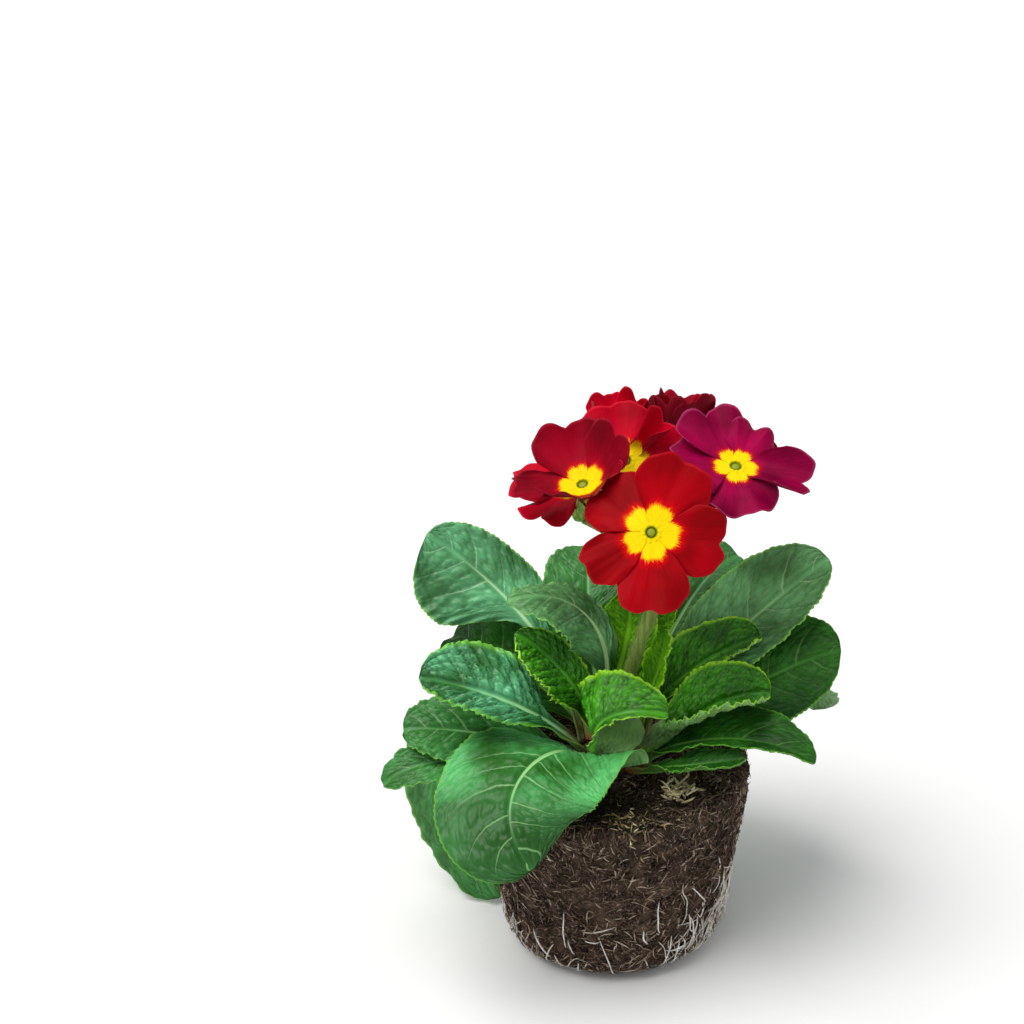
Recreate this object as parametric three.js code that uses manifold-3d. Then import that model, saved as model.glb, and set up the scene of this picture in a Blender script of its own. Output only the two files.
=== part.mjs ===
// A polyanthus primrose lifted from its pot: the pot-shaped root ball with its white roots,
// the crown, a rosette of crinkled leaves, and one flower stalk with an umbel of blooms.
// Millimetres, +Z up. The origin is the middle of the root ball's flat underside.
// Run with the npm packages three and manifold-3d; the scene is the default export.

import * as THREE from 'three';
import Module from 'manifold-3d';

const wasm = await Module();
wasm.setup();

const { degToRad, smoothstep, clamp, lerp } = THREE.MathUtils;

// ---- driving dimensions ----

// Peat, pressed into the shape of a 10.5 cm pot.
const ball = {
  height: 72,
  rimRadius: 50,
  waistHeight: 40,
  waistRadius: 45.5,
  heelHeight: 8,
  heelRadius: 41,
  footRadius: 31,
  sides: 32,
  bump: 0.5,
};
// White roots that wrap the lower half of the ball.
const roots = { width: 1.3, depth: 1.0, clear: 1.2, ringHeight: 7, strands: 11 };
// The crown stands in a plain hole in the peat and carries the leaves on three steps.
const crown = { depth: 6, sides: 12, clear: 0.35 };
const steps = {
  low: { radius: 14, height: 1.8, core: 11.9, top: 3.0 },
  middle: { radius: 11, height: 5.8, core: 9.0, top: 7.2 },
  inner: { radius: 8.3, height: 10, core: 5.8, top: 12 },
};
// Leaves: blade thickness, keel of the midrib, relief between the side veins, margin teeth.
const blade = { thickness: 0.95, keel: 1.1, rib: 0.35, tooth: 0.03, columns: 6 };
// The stalk leans to one side and carries the umbel. Each bloom's stem starts beside its axis.
const stalk = {
  foot: [1.2, 0.3, 12.8],
  lean: [8, 2, 48],
  umbel: [20, 0, 76],
  radius: 2.6,
  sides: 8,
  swelling: 0.9,
  pedicelRadius: 1.1,
  pedicelSpread: 2.3,
  bracts: 5,
  bractLength: 9,
};
// A bloom: flat limb of five notched petals on a tube, held in a five-toothed calyx. At the throat
// each petal spans the part `hingeShare` of the way to its neighbours.
const bloomSize = {
  throat: 3.6,
  limbRadius: 5.6,
  petalThickness: 0.75,
  hingeShare: 0.96,
  drop: 0.34,
  notchWidth: 0.2,
  overlap: 1.1,
  tubeLength: 12.5,
  tubeRadius: 2.1,
  calyxRadius: 3.3,
  calyxLength: 9,
  calyxTooth: 3.2,
};

// Leaves. `at` is the compass angle of the foot on its step of the crown, and `seat` how much
// closer than the step's radius it sits against the crown. `path` holds the two points at a
// third and two thirds of the midrib and its tip, from the crown's middle at soil level. `face`
// is where the blade's upper side looks, `half` the half widths left and right of the midrib,
// and `cup` how far each half curls up, in degrees (`cupTip` at the tip).
const leaves = [
  {
    name: 'leaf_front_wide', step: 'low', at: 232, seat: 0.5, rows: 14,
    path: [[-22, -19, 14], [-35, -43, 12], [-27.5, -64, -5]], face: [-0.1, -0.5, 0.85],
    half: [31, 29], foot: [30, 2.2], cup: [40, -5], cupTip: [-16, -18],
    shoulder: -0.1, widest: 0.6, round: 2.4,
  },
  {
    name: 'leaf_left', step: 'middle', at: 200, seat: 0.7, rows: 12,
    path: [[-24, -9, 22], [-45, -12, 35], [-69, -13, 42]], face: [-0.1, -0.5, 0.85],
    half: [10.5, 18], cup: [12, 12],
  },
  {
    name: 'leaf_left_tall', step: 'middle', at: 168, seat: 0.4, rows: 14,
    path: [[-23, 14, 36], [-44, 28, 57], [-68, 36, 74]], face: [-0.35, -0.5, 0.8],
    half: [24.5, 15], cup: [0, 12], shoulder: [0.46, 0.16], widest: [0.74, 0.62], round: 2.6,
  },
  {
    name: 'leaf_left_arching', step: 'inner', at: 158, seat: 0.5, rows: 12,
    path: [[-2, 10, 36], [-13, 12, 57], [-38, 7, 62]], face: [-0.2, -0.2, 0.95],
    half: [17, 9], cup: [-8, -8],
  },
  {
    name: 'leaf_left_young', step: 'inner', at: 200, seat: 0.6, rows: 10,
    path: [[-11, 0, 24], [-20, 2, 38], [-35, 4, 50]], face: [0.5, -0.5, 0.7],
    half: [17, 9], cup: [30, 30], turn: 0.3,
  },
  {
    name: 'leaf_front_young', step: 'middle', at: 262, rows: 10,
    path: [[-7, -16, 16], [-2, -21, 30], [20, -24, 33]], face: [-0.2, -0.5, 0.85],
    half: [20, 3.5], cup: [5, 25], cupTip: [5, 20], shoulder: [0.12, 0.45], widest: [0.38, 0.75],
    slant: 0.08,
  },
  {
    name: 'leaf_right_folded', step: 'middle', at: 332, seat: 1.2, rows: 12,
    path: [[20, -10, 16], [36, -14, 31], [56, -18, 38]], face: [0, -0.5, 0.85],
    half: [15, 17], cup: [15, 150], cupTip: [10, 60], shoulder: 0.08,
  },
  {
    name: 'leaf_right', step: 'middle', at: 7, rows: 12,
    path: [[17, 3, 23], [34, 7, 37], [54, 9, 46]], face: [0, -0.4, 0.9],
    half: [14, 6], cup: [15, 30],
  },
  {
    name: 'leaf_right_tall', step: 'middle', at: 48, rows: 14,
    path: [[24, 10, 25], [50, 20, 46], [79, 30, 67]], face: [0, -0.6, 0.8],
    half: [19, 15], cup: [12, 20], round: 2.8,
  },
  {
    name: 'leaf_right_broad', step: 'low', at: 5, rows: 14,
    path: [[28, -2, 15.5], [56, 6, 30], [83, 9, 40]], face: [0.1, -0.5, 0.85],
    half: [22, 18], cup: [10, -5], shoulder: [0.32, 0.16],
  },
  {
    name: 'leaf_right_low', step: 'low', at: 330, rows: 12,
    path: [[20, -14, 13], [43, -25, 24], [71, -36, 21]], face: [0, -0.3, 0.95],
    half: [17, 8], cup: [10, 40], widest: 0.5, round: 1.7,
  },
  {
    name: 'leaf_right_small', step: 'low', at: 302, seat: 1.2, rows: 10,
    path: [[17, -21, 9], [32, -29, 16], [47, -32, 20]], face: [0, -0.2, 0.95],
    half: [6, 12], cup: [30, 50],
  },
  {
    name: 'leaf_left_lower', step: 'low', at: 177, rows: 10,
    path: [[-26, -4, 8], [-52, -8, 16], [-76, -9, 17]], face: [0, -0.4, 0.9],
    half: [15, 15], cup: [10, 10],
  },
  {
    name: 'leaf_left_low', step: 'low', at: 198, seat: 0.4, rows: 10,
    path: [[-28, -10, 4], [-56, -17, 10], [-83, -22, 2]], face: [0, -0.3, 0.9],
    half: [13, 13], cup: [10, 10], widest: 0.55, round: 1.7,
  },
  {
    name: 'leaf_left_hanging', step: 'low', at: 158, seat: 1.3, rows: 12,
    path: [[-42.5, 14, 9], [-59, 17, -20], [-44, 6, -69]], face: [-0.4, -0.9, 0.1],
    half: [22, 22], cup: [-110, 0], shoulder: 0.3,
  },
  {
    name: 'leaf_heart_left', step: 'inner', at: 115, seat: 0.6, rows: 8,
    path: [[2, 14, 27], [6, 20, 43], [6, 26, 56]], face: [0, -0.8, 0.5],
    half: [11, 11], cup: [20, 20],
  },
  {
    name: 'leaf_heart_right', step: 'inner', at: 40, seat: 0.8, rows: 8,
    path: [[8, 15, 24], [13, 24, 40], [22, 31, 54]], face: [-0.1, -0.8, 0.5],
    half: [9, 9], cup: [20, 20],
  },
  {
    name: 'leaf_heart_front', step: 'inner', at: 345, seat: 0.5, rows: 8,
    path: [[12, 1, 22], [17, 3, 37], [20, 5, 51]], face: [-0.5, -0.3, 0.5],
    half: [7, 7], cup: [25, 25],
  },
  {
    name: 'leaf_back_tall', step: 'middle', at: 110, seat: 0.9, rows: 10,
    path: [[-7, 28, 27], [-9, 45, 46], [-8, 66, 52]], face: [0, -0.4, 0.9],
    half: [17, 17], cup: [10, 10],
  },
  {
    name: 'leaf_left_back', step: 'middle', at: 138, seat: 1.1, rows: 10,
    path: [[-21, 14, 17], [-42, 22, 30], [-60, 32, 33]], face: [-0.1, -0.3, 0.9],
    half: [21, 21], cup: [10, 10],
  },
  {
    name: 'leaf_right_back', step: 'middle', at: 75, seat: 0.8, rows: 10,
    path: [[18, 28, 28], [32, 44, 46], [48, 60, 52]], face: [0, -0.4, 0.9],
    half: [19, 19], cup: [10, 10],
  },
  {
    name: 'leaf_back_low_left', step: 'low', at: 125, seat: 1.5, rows: 10,
    path: [[-22, 34, 11], [-38, 62, 10], [-46, 82, -12]], face: [0, 0.2, 0.9],
    half: [25, 25], cup: [5, 5],
  },
  {
    name: 'leaf_back_low', step: 'low', at: 80, seat: 1.4, rows: 10,
    path: [[12, 34, 12], [24, 62, 12], [32, 86, -8]], face: [0, 0.2, 0.9],
    half: [24, 24], cup: [5, 5],
  },
  {
    name: 'leaf_back_low_right', step: 'low', at: 40, seat: 1.5, rows: 10,
    path: [[34, 24, 12], [60, 40, 12], [78, 50, -10]], face: [0, 0.2, 0.9],
    half: [23, 23], cup: [5, 5],
  },
];

// Blooms. `from` is the middle of the throat seen from the umbel, `compass` and `rise` the way
// the bloom faces, and `turn` its turn about its own axis. For each petal, from the lowest on:
// `lift` is how far it stands up out of the limb, `curl` how far its sides roll up, `aside` its
// turn out of the even star, `spread` half its opening at the rim, in degrees, `reach` its length
// against the others and `notch` the depth of its notch. `ruffle` is the wave of the rims in mm.
const bloomDefaults = {
  turn: 0,
  lift: [5, 5, 5, 5, 5],
  curl: [0, 0, 0, 0, 0],
  aside: [0, 0, 0, 0, 0],
  spread: [43, 43, 43, 43, 43],
  reach: [1, 1, 1, 1, 1],
  notch: [0.11, 0.11, 0.11, 0.11, 0.11],
  ruffle: 0.9,
};
const blooms = [
  {
    name: 'bloom_front', from: [-6.7, -27, 31.6], compass: 270, rise: 33, radius: 28,
    lift: [7, -1, 5, -22, -2], aside: [1, 8, 10, 11, 13], spread: [38, 42, 44, 41, 30],
    reach: [1.03, 0.95, 1.0, 0.95, 0.93], notch: [0.07, 0.12, 0.04, 0.1, 0.02],
  },
  {
    name: 'bloom_left', from: [-30.2, 0.6, 36], compass: 235, rise: 68, radius: 25.5, turn: 9,
    lift: [44, 42, 42, 32, 14], aside: [0, 0, 6, 0, 7], reach: [0.85, 0.86, 0.97, 1.05, 1],
    spread: [43, 40, 40, 48, 27],
    notch: [0.1, 0.1, 0.08, 0.17, 0.08], ruffle: 1.3,
  },
  {
    name: 'bloom_left_low', from: [-33, 19, 26], compass: 240, rise: 78, radius: 24.5, turn: -5,
    aside: [0, 0, 0, 0, 10], lift: [4, 52, 12, 8, 8], spread: [36, 34, 40, 43, 43], reach: [1.05, 0.42, 0.6, 0.8, 1],
    notch: [0.2, 0.1, 0.1, 0.1, 0.1], ruffle: 1.5,
  },
  {
    name: 'bloom_top', from: [-15.2, 19.2, 36.1], compass: 265, rise: 48, radius: 21.5, turn: -16,
    lift: [25, 5, 26, 4, 6], curl: [0, 0, 150, 0, 0], aside: [0, 42, 6, -2, 0],
    spread: [43, 48, 43, 50, 43], reach: [0.7, 1.05, 1.05, 1.1, 0.84],
  },
  {
    name: 'bloom_back_left', from: [-17, 48, 33], compass: 260, rise: 82, radius: 18.5,
    lift: [66, 72, 66, 46, 66], ruffle: 1.1,
  },
  {
    name: 'bloom_back', from: [4.5, 40, 37], compass: 90, rise: 78, radius: 20.5,
    lift: [46, 74, 70, 66, 60], ruffle: 1.2,
  },
  {
    name: 'bloom_right', from: [22.5, -4, 45.1], compass: 285, rise: 70, radius: 26, turn: -6,
    lift: [-4, 2, 6, 14, 5], curl: [0, 70, 0, 0, 0], aside: [0, -6, 6, -16, -22],
    spread: [50, 36, 38, 43, 56],
    reach: [0.88, 1.08, 0.82, 1.06, 0.92], notch: [0.06, 0.16, 0.03, 0.2, 0.1], ruffle: 1.9,
  },
  { name: 'bloom_back_right', from: [30, 31, 35], compass: 55, rise: 50, radius: 18 },
  { name: 'bloom_rear', from: [4, 48, 8], compass: 85, rise: 0, radius: 19 },
].map((bloom) => ({ ...bloomDefaults, ...bloom }));

// ---- materials ----

function look(color, roughness) {
  return new THREE.MeshStandardMaterial({ color, roughness, metalness: 0 });
}
const looks = {
  soil: () => look(0x3a2a22, 0.98),
  root: () => look(0xd9d3c4, 0.8),
  crown: () => look(0xa8695a, 0.7),
  leaf: () => look(0x3f7d3a, 0.55),
  stalk: () => look(0x7d8f4a, 0.7),
  red: () => look(0xb00818, 0.6),
  magenta: () => look(0x8a0a3c, 0.6),
};

// ---- closed surfaces ----

function direction(compass, rise) {
  const a = degToRad(compass);
  const e = degToRad(rise);
  return new THREE.Vector3(Math.cos(e) * Math.cos(a), Math.cos(e) * Math.sin(a), Math.sin(e));
}

function signedVolume(points, triangles) {
  const cross = new THREE.Vector3();
  let sum = 0;
  for (let n = 0; n < triangles.length; n += 3) {
    const [a, b, c] = [points[triangles[n]], points[triangles[n + 1]], points[triangles[n + 2]]];
    sum += cross.crossVectors(a, b).dot(c) / 6;
  }
  return sum;
}

// Points and triangles of a closed body, turned so that its faces point out.
function closedBody(points, triangles) {
  const turned = signedVolume(points, triangles) < 0 ? [...triangles].reverse() : triangles;
  return { points, triangles: turned };
}

// Rings of points joined band by band, closed at both ends on a single point.
function ringBody(start, rings, end) {
  const count = rings[0].length;
  const points = [start, ...rings.flat(), end];
  const last = points.length - 1;
  const at = (k, j) => 1 + k * count + (j % count);
  const triangles = [];
  for (let j = 0; j < count; j += 1) {
    triangles.push(0, at(0, j + 1), at(0, j));
    triangles.push(last, at(rings.length - 1, j), at(rings.length - 1, j + 1));
    for (let k = 0; k + 1 < rings.length; k += 1) {
      triangles.push(at(k, j), at(k, j + 1), at(k + 1, j + 1));
      triangles.push(at(k, j), at(k + 1, j + 1), at(k + 1, j));
    }
  }
  return closedBody(points, triangles);
}

// A sheet of even thickness on a grid of points. Both faces are split along the same diagonals.
// With a tip, the last row runs into that one point. `keelAt` thickens a row's middle below.
function sheetBody(grid, tip, thickness, keelAt = () => 0) {
  const rows = grid.length;
  const columns = grid[0].length - 1;
  const middle = columns / 2;
  const normalAt = (i, j) => {
    const across = grid[i][Math.min(j + 1, columns)].clone().sub(grid[i][Math.max(j - 1, 0)]);
    const ahead = (i + 1 < rows ? grid[i + 1][j] : tip ?? grid[i][j]).clone();
    const along = ahead.sub(grid[Math.max(i - 1, 0)][j]);
    return across.cross(along).normalize();
  };
  const points = [];
  for (const side of [0.5, -0.5]) {
    for (let i = 0; i < rows; i += 1) {
      for (let j = 0; j <= columns; j += 1) {
        const keel = side < 0 && j === middle ? keelAt(i / rows) : 0;
        const shift = normalAt(i, j).multiplyScalar(side * thickness - keel);
        points.push(grid[i][j].clone().add(shift));
      }
    }
  }
  const face = rows * (columns + 1);
  const top = (i, j) => i * (columns + 1) + j;
  const under = (i, j) => face + top(i, j);
  const triangles = [];
  const quad = (a, b, c, d) => triangles.push(a, b, c, a, c, d);
  for (let i = 0; i + 1 < rows; i += 1) {
    for (let j = 0; j < columns; j += 1) {
      const flip = j < middle;
      const [a, b, c, d] = [[i, j], [i, j + 1], [i + 1, j + 1], [i + 1, j]];
      const order = flip ? [b, c, d, a] : [a, b, c, d];
      quad(...order.map((p) => top(...p)));
      quad(...order.toReversed().map((p) => under(...p)));
    }
    quad(top(i, 0), top(i + 1, 0), under(i + 1, 0), under(i, 0));
    quad(top(i, columns), under(i, columns), under(i + 1, columns), top(i + 1, columns));
  }
  for (let j = 0; j < columns; j += 1) {
    quad(top(0, j), under(0, j), under(0, j + 1), top(0, j + 1));
  }
  const end = rows - 1;
  if (tip) {
    const shift = normalAt(end, middle).multiplyScalar(thickness / 2);
    const topTip = points.push(tip.clone().add(shift)) - 1;
    const underTip = points.push(tip.clone().sub(shift)) - 1;
    for (let j = 0; j < columns; j += 1) {
      triangles.push(top(end, j), top(end, j + 1), topTip);
      triangles.push(under(end, j + 1), under(end, j), underTip);
    }
    quad(top(end, 0), topTip, underTip, under(end, 0));
    quad(top(end, columns), under(end, columns), underTip, topTip);
  } else {
    for (let j = 0; j < columns; j += 1) {
      quad(top(end, j), top(end, j + 1), under(end, j + 1), under(end, j));
    }
  }
  return closedBody(points, triangles);
}

// A round or flattened rod along a curve, with its radius given along the way.
function rodBody(curve, radiusAt, sides, stepCount, flat = 1) {
  const start = curve.getTangent(0);
  const reference = new THREE.Vector3(0, Math.abs(start.z), 1 - Math.abs(start.z));
  const rings = [];
  for (let i = 0; i <= stepCount; i += 1) {
    const s = i / stepCount;
    const centre = curve.getPoint(s);
    const along = curve.getTangent(s);
    const across = along.clone().cross(reference).normalize();
    const over = across.clone().cross(along);
    const ring = [];
    for (let j = 0; j < sides; j += 1) {
      const a = (2 * Math.PI * j) / sides;
      const point = centre.clone().addScaledVector(across, radiusAt(s) * Math.cos(a));
      ring.push(point.addScaledVector(over, radiusAt(s) * flat * Math.sin(a)));
    }
    rings.push(ring);
  }
  return ringBody(curve.getPoint(0), rings, curve.getPoint(1));
}

// A turned body about an axis. Each profile point is [radius, distance along the axis].
function turnedBody(origin, axis, profile, sides, heightAt = (z) => z) {
  const side = new THREE.Vector3(0, 0, 1).cross(axis).normalize();
  const across = side.lengthSq() > 0 ? side : new THREE.Vector3(1, 0, 0);
  const up = axis.clone().cross(across);
  const rings = profile.slice(1, -1).map(([radius, z]) => {
    const ring = [];
    for (let j = 0; j < sides; j += 1) {
      const a = (2 * Math.PI * j) / sides;
      const point = origin.clone().addScaledVector(axis, heightAt(z, j));
      point.addScaledVector(across, radius * Math.cos(a));
      ring.push(point.addScaledVector(up, radius * Math.sin(a)));
    }
    return ring;
  });
  const pole = ([, z]) => origin.clone().addScaledVector(axis, z);
  return ringBody(pole(profile[0]), rings, pole(profile.at(-1)));
}

// ---- joining ----

function asManifold(body) {
  const vertProperties = new Float32Array(body.points.flatMap((p) => p.toArray()));
  const triVerts = new Uint32Array(body.triangles);
  return new wasm.Manifold(new wasm.Mesh({ numProp: 3, vertProperties, triVerts }));
}

function geometryOf(body) {
  const geometry = new THREE.BufferGeometry();
  const position = body.points.flatMap((p) => p.toArray());
  geometry.setAttribute('position', new THREE.Float32BufferAttribute(position, 3));
  geometry.setIndex(body.triangles);
  geometry.computeVertexNormals();
  return geometry;
}

function fuse(bodies) {
  const joined = bodies.map(asManifold).reduce((whole, next) => whole.add(next));
  const mesh = joined.getMesh();
  const geometry = new THREE.BufferGeometry();
  geometry.setAttribute('position', new THREE.Float32BufferAttribute(mesh.vertProperties, 3));
  geometry.setIndex([...mesh.triVerts]);
  geometry.computeVertexNormals();
  return geometry;
}

// ---- root ball and roots ----

// Radius of the ball's side at a height: straight taper, rounded in at the foot.
function sideRadius(z) {
  const { height, rimRadius, waistHeight, waistRadius, heelHeight, heelRadius, footRadius } = ball;
  const part = (low, high) => (z - low) / (high - low);
  if (z < heelHeight) {
    return footRadius + (heelRadius - footRadius) * Math.sin((Math.PI / 2) * part(0, heelHeight));
  }
  if (z < waistHeight) return lerp(heelRadius, waistRadius, part(heelHeight, waistHeight));
  return lerp(waistRadius, rimRadius, part(waistHeight, height));
}

// Lumps left in the peat, around the side and over the top.
function sideBump(angle, z) {
  const slow = Math.sin(3 * angle + 1.3 + 0.05 * z);
  const middle = 0.7 * Math.sin(5 * angle - 0.11 * z + 2);
  const quick = 0.5 * Math.sin(8 * angle + 0.15 * z);
  return ball.bump * (slow + middle + quick);
}

// The top of the peat, a little uneven, with a washed-out hollow at the front.
function topHeight(x, y) {
  const hollow = 3.5 * Math.exp(-((x - 2) ** 2 + (y + 30) ** 2) / 130);
  const waves = 0.8 * Math.sin(0.21 * x + 1) * Math.cos(0.19 * y) + 0.5 * Math.sin(0.34 * (x + y));
  return ball.height - 0.8 + waves - hollow;
}

function makeRootBall() {
  const { height, rimRadius, footRadius, sides } = ball;
  const holeRadius = steps.low.core + crown.clear;
  const heights = [0, 3, ball.heelHeight, 18, 30, 43, 56, height - 2.5];
  const ringAt = (radiusAt, zAt) => Array.from({ length: sides }, (_, j) => {
    const a = (2 * Math.PI * j) / sides;
    const r = radiusAt(a);
    return new THREE.Vector3(r * Math.cos(a), r * Math.sin(a), zAt(r * Math.cos(a), r * Math.sin(a)));
  });
  const rings = heights.map((z) => ringAt(
    (a) => (z === 0 ? footRadius : sideRadius(z) + sideBump(a, z)),
    () => z,
  ));
  for (const radius of [rimRadius - 1.5, 39, 28, 18]) {
    rings.push(ringAt((a) => radius + (radius > 40 ? sideBump(a, height) : 0), topHeight));
  }
  rings.push(ringAt(() => holeRadius, () => height - 0.4));
  rings.push(ringAt(() => holeRadius, () => height - crown.depth - crown.clear));
  const middle = (z) => new THREE.Vector3(0, 0, z);
  return geometryOf(ringBody(middle(0), rings, middle(height - crown.depth - crown.clear)));
}

// One root lies on the peat: a flattened strip that follows the ball from point to point.
function rootBody(angleAt, heightAt, stepCount, closed = false) {
  const corners = [[-0.5, 0], [0.5, 0], [0.5, 1], [-0.5, 1]];
  const spine = (s) => {
    const a = degToRad(angleAt(s));
    const z = heightAt(s);
    const r = sideRadius(z) + sideBump(a, z) + roots.clear;
    return new THREE.Vector3(r * Math.cos(a), r * Math.sin(a), z);
  };
  const ring = (s) => {
    const here = spine(s);
    const along = spine(s + 0.01).sub(spine(s - 0.01)).normalize();
    const out = new THREE.Vector3(here.x, here.y, 0).normalize();
    const side = along.clone().cross(out).normalize();
    return corners.map(([w, d]) => here.clone()
      .addScaledVector(side, w * roots.width)
      .addScaledVector(out, d * roots.depth));
  };
  const count = closed ? stepCount : stepCount + 1;
  const rings = Array.from({ length: count }, (_, i) => ring(i / stepCount));
  if (!closed) {
    const middleOf = (r) => r.reduce((sum, p) => sum.add(p), new THREE.Vector3()).divideScalar(4);
    return ringBody(middleOf(rings[0]), rings, middleOf(rings.at(-1)));
  }
  const triangles = [];
  for (let i = 0; i < count; i += 1) {
    for (let j = 0; j < 4; j += 1) {
      const at = (k, m) => (k % count) * 4 + (m % 4);
      triangles.push(at(i, j), at(i, j + 1), at(i + 1, j + 1));
      triangles.push(at(i, j), at(i + 1, j + 1), at(i + 1, j));
    }
  }
  return closedBody(rings.flat(), triangles);
}

function makeRootNet() {
  const ringHeight = (s) => roots.ringHeight + 1.6 * Math.sin(10 * Math.PI * s);
  const bodies = [rootBody((s) => 360 * s, ringHeight, ball.sides, true)];
  for (let n = 0; n < roots.strands; n += 1) {
    const start = (360 * n) / roots.strands + 8 * Math.sin(5 * n);
    const reach = 18 + 12 * Math.sin(2.3 * n + 1) ** 2;
    const drift = 26 * Math.sin(1.7 * n + 0.5);
    const angleAt = (s) => start + drift * s + 3 * Math.sin(7 * s + n);
    bodies.push(rootBody(angleAt, (s) => 4.5 + reach * s, 4));
  }
  return fuse(bodies);
}

// ---- crown ----

function makeCrown() {
  const { low, middle, inner } = steps;
  const base = new THREE.Vector3(0, 0, ball.height);
  const profile = [
    [0, -crown.depth],
    [low.core, -crown.depth],
    [low.core, low.top - 0.8],
    [middle.core + 0.6, low.top],
    [middle.core, middle.top - 0.8],
    [inner.core + 0.5, middle.top],
    [inner.core, inner.top - 0.8],
    [inner.core - 1, inner.top],
    [0, inner.top],
  ];
  return geometryOf(turnedBody(base, new THREE.Vector3(0, 0, 1), profile, crown.sides));
}

// ---- leaves ----

const leafDefaults = {
  seat: 0, foot: [2.2, 2.2], shoulder: 0.16, widest: 0.64, round: 2.4, turn: 0.6, slant: 0.28,
};

// The midrib is the cubic curve through the leaf's foot, its two way points and its tip.
function midrib(leaf) {
  const step = steps[leaf.step];
  const a = degToRad(leaf.at);
  const radius = step.radius - leaf.seat;
  const foot = new THREE.Vector3(radius * Math.cos(a), radius * Math.sin(a), step.height);
  const [first, second, tip] = leaf.path.map((p) => new THREE.Vector3(...p));
  const handle = (p, q, r, s) => new THREE.Vector3()
    .addScaledVector(p, -5 / 6)
    .addScaledVector(q, 3)
    .addScaledVector(r, -1.5)
    .addScaledVector(s, 1 / 3);
  const lift = new THREE.Vector3(0, 0, ball.height);
  const knots = [foot, handle(foot, first, second, tip), handle(tip, second, first, foot), tip];
  return new THREE.CubicBezierCurve3(...knots.map((p) => p.add(lift)));
}

// A value given once for the blade, or for its left and right halves.
function ofSide(value, side) {
  return Array.isArray(value) ? value[side] : value;
}

// Half width along the blade: narrow stem, swelling to its widest, then round to the tip.
function halfWidth(leaf, x, side) {
  const full = leaf.half[side];
  const stem = leaf.foot[side];
  const widest = ofSide(leaf.widest, side);
  const grown = smoothstep(x, ofSide(leaf.shoulder, side), widest);
  if (x < widest) return stem + (full - stem) * grown;
  const beyond = (x - widest) / (1 - widest);
  return full * Math.sqrt(clamp(1 - beyond ** leaf.round, 0, 1));
}

// A point of the blade: q runs from foot to tip, t from -1 (right margin) to 1 (left margin).
function leafPoint(leaf, curve, q, t, row) {
  const out = Math.abs(t);
  const side = t >= 0 ? 0 : 1;
  const begin = smoothstep(q, 0, Math.max(ofSide(leaf.shoulder, side) + 0.15, 0.2));
  const x = q + (1 - q) * leaf.slant * begin * out ** 1.4;
  const centre = curve.getPoint(x);
  const along = curve.getTangent(x);
  const a = degToRad(leaf.at);
  const inward = new THREE.Vector3(-0.7 * Math.cos(a), -0.7 * Math.sin(a), 0.7).normalize();
  const face = new THREE.Vector3(...leaf.face).normalize();
  const normal = inward.lerp(face, smoothstep(x, 0, leaf.turn)).normalize();
  normal.addScaledVector(along, -normal.dot(along)).normalize();
  const across = normal.clone().cross(along);
  const tipCup = (leaf.cupTip ?? leaf.cup)[side];
  const cup = degToRad(leaf.cup[side] * (1 - x) + tipCup * x) || 1e-3;
  const start = 0.3 * cup;
  const bend = cup - start;
  const w = halfWidth(leaf, x, side);
  const angle = start + bend * out;
  const lateral = (w / bend) * (Math.sin(angle) - Math.sin(start));
  const rise = (w / bend) * (Math.cos(start) - Math.cos(angle));
  const wave = Math.sin(6 * Math.PI * x + leaf.at + (t > 0 ? 1.9 : 0));
  const ruffle = wave * out ** 2.5 * Math.sqrt(Math.sin(Math.PI * x));
  const alternate = row % 2 ? 1 : -1;
  const tooth = out > 0.99 ? 1 + alternate * blade.tooth : 1;
  const between = out > 0.01 && out < 0.99 ? alternate * blade.rib * smoothstep(q, 0.1, 0.35) : 0;
  return centre
    .addScaledVector(across, Math.sign(t) * lateral * tooth)
    .addScaledVector(normal, rise + ruffle + between);
}

function makeLeaf(spec) {
  const leaf = { ...leafDefaults, ...spec };
  const curve = midrib(leaf);
  const grid = [];
  for (let i = 0; i < leaf.rows; i += 1) {
    const row = [];
    for (let j = 0; j <= blade.columns; j += 1) {
      row.push(leafPoint(leaf, curve, i / leaf.rows, (2 * j) / blade.columns - 1, i));
    }
    grid.push(row);
  }
  const keelAt = (q) => blade.keel * (1 - q);
  return geometryOf(sheetBody(grid, curve.getPoint(1), blade.thickness, keelAt));
}

// ---- flower stalk and blooms ----

const umbel = new THREE.Vector3(...stalk.umbel).add(new THREE.Vector3(0, 0, ball.height));

function bloomFrame(bloom) {
  const normal = direction(bloom.compass, bloom.rise);
  const across = new THREE.Vector3(0, 0, 1).cross(normal).normalize();
  const over = normal.clone().cross(across);
  const throat = umbel.clone().add(new THREE.Vector3(...bloom.from));
  return { throat, normal, across, over };
}

// Middle direction of a petal, in degrees about the bloom's axis.
function petalWay(bloom, petal) {
  return bloom.turn - 90 + 72 * petal + bloom.aside[(petal + 5) % 5];
}

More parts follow.
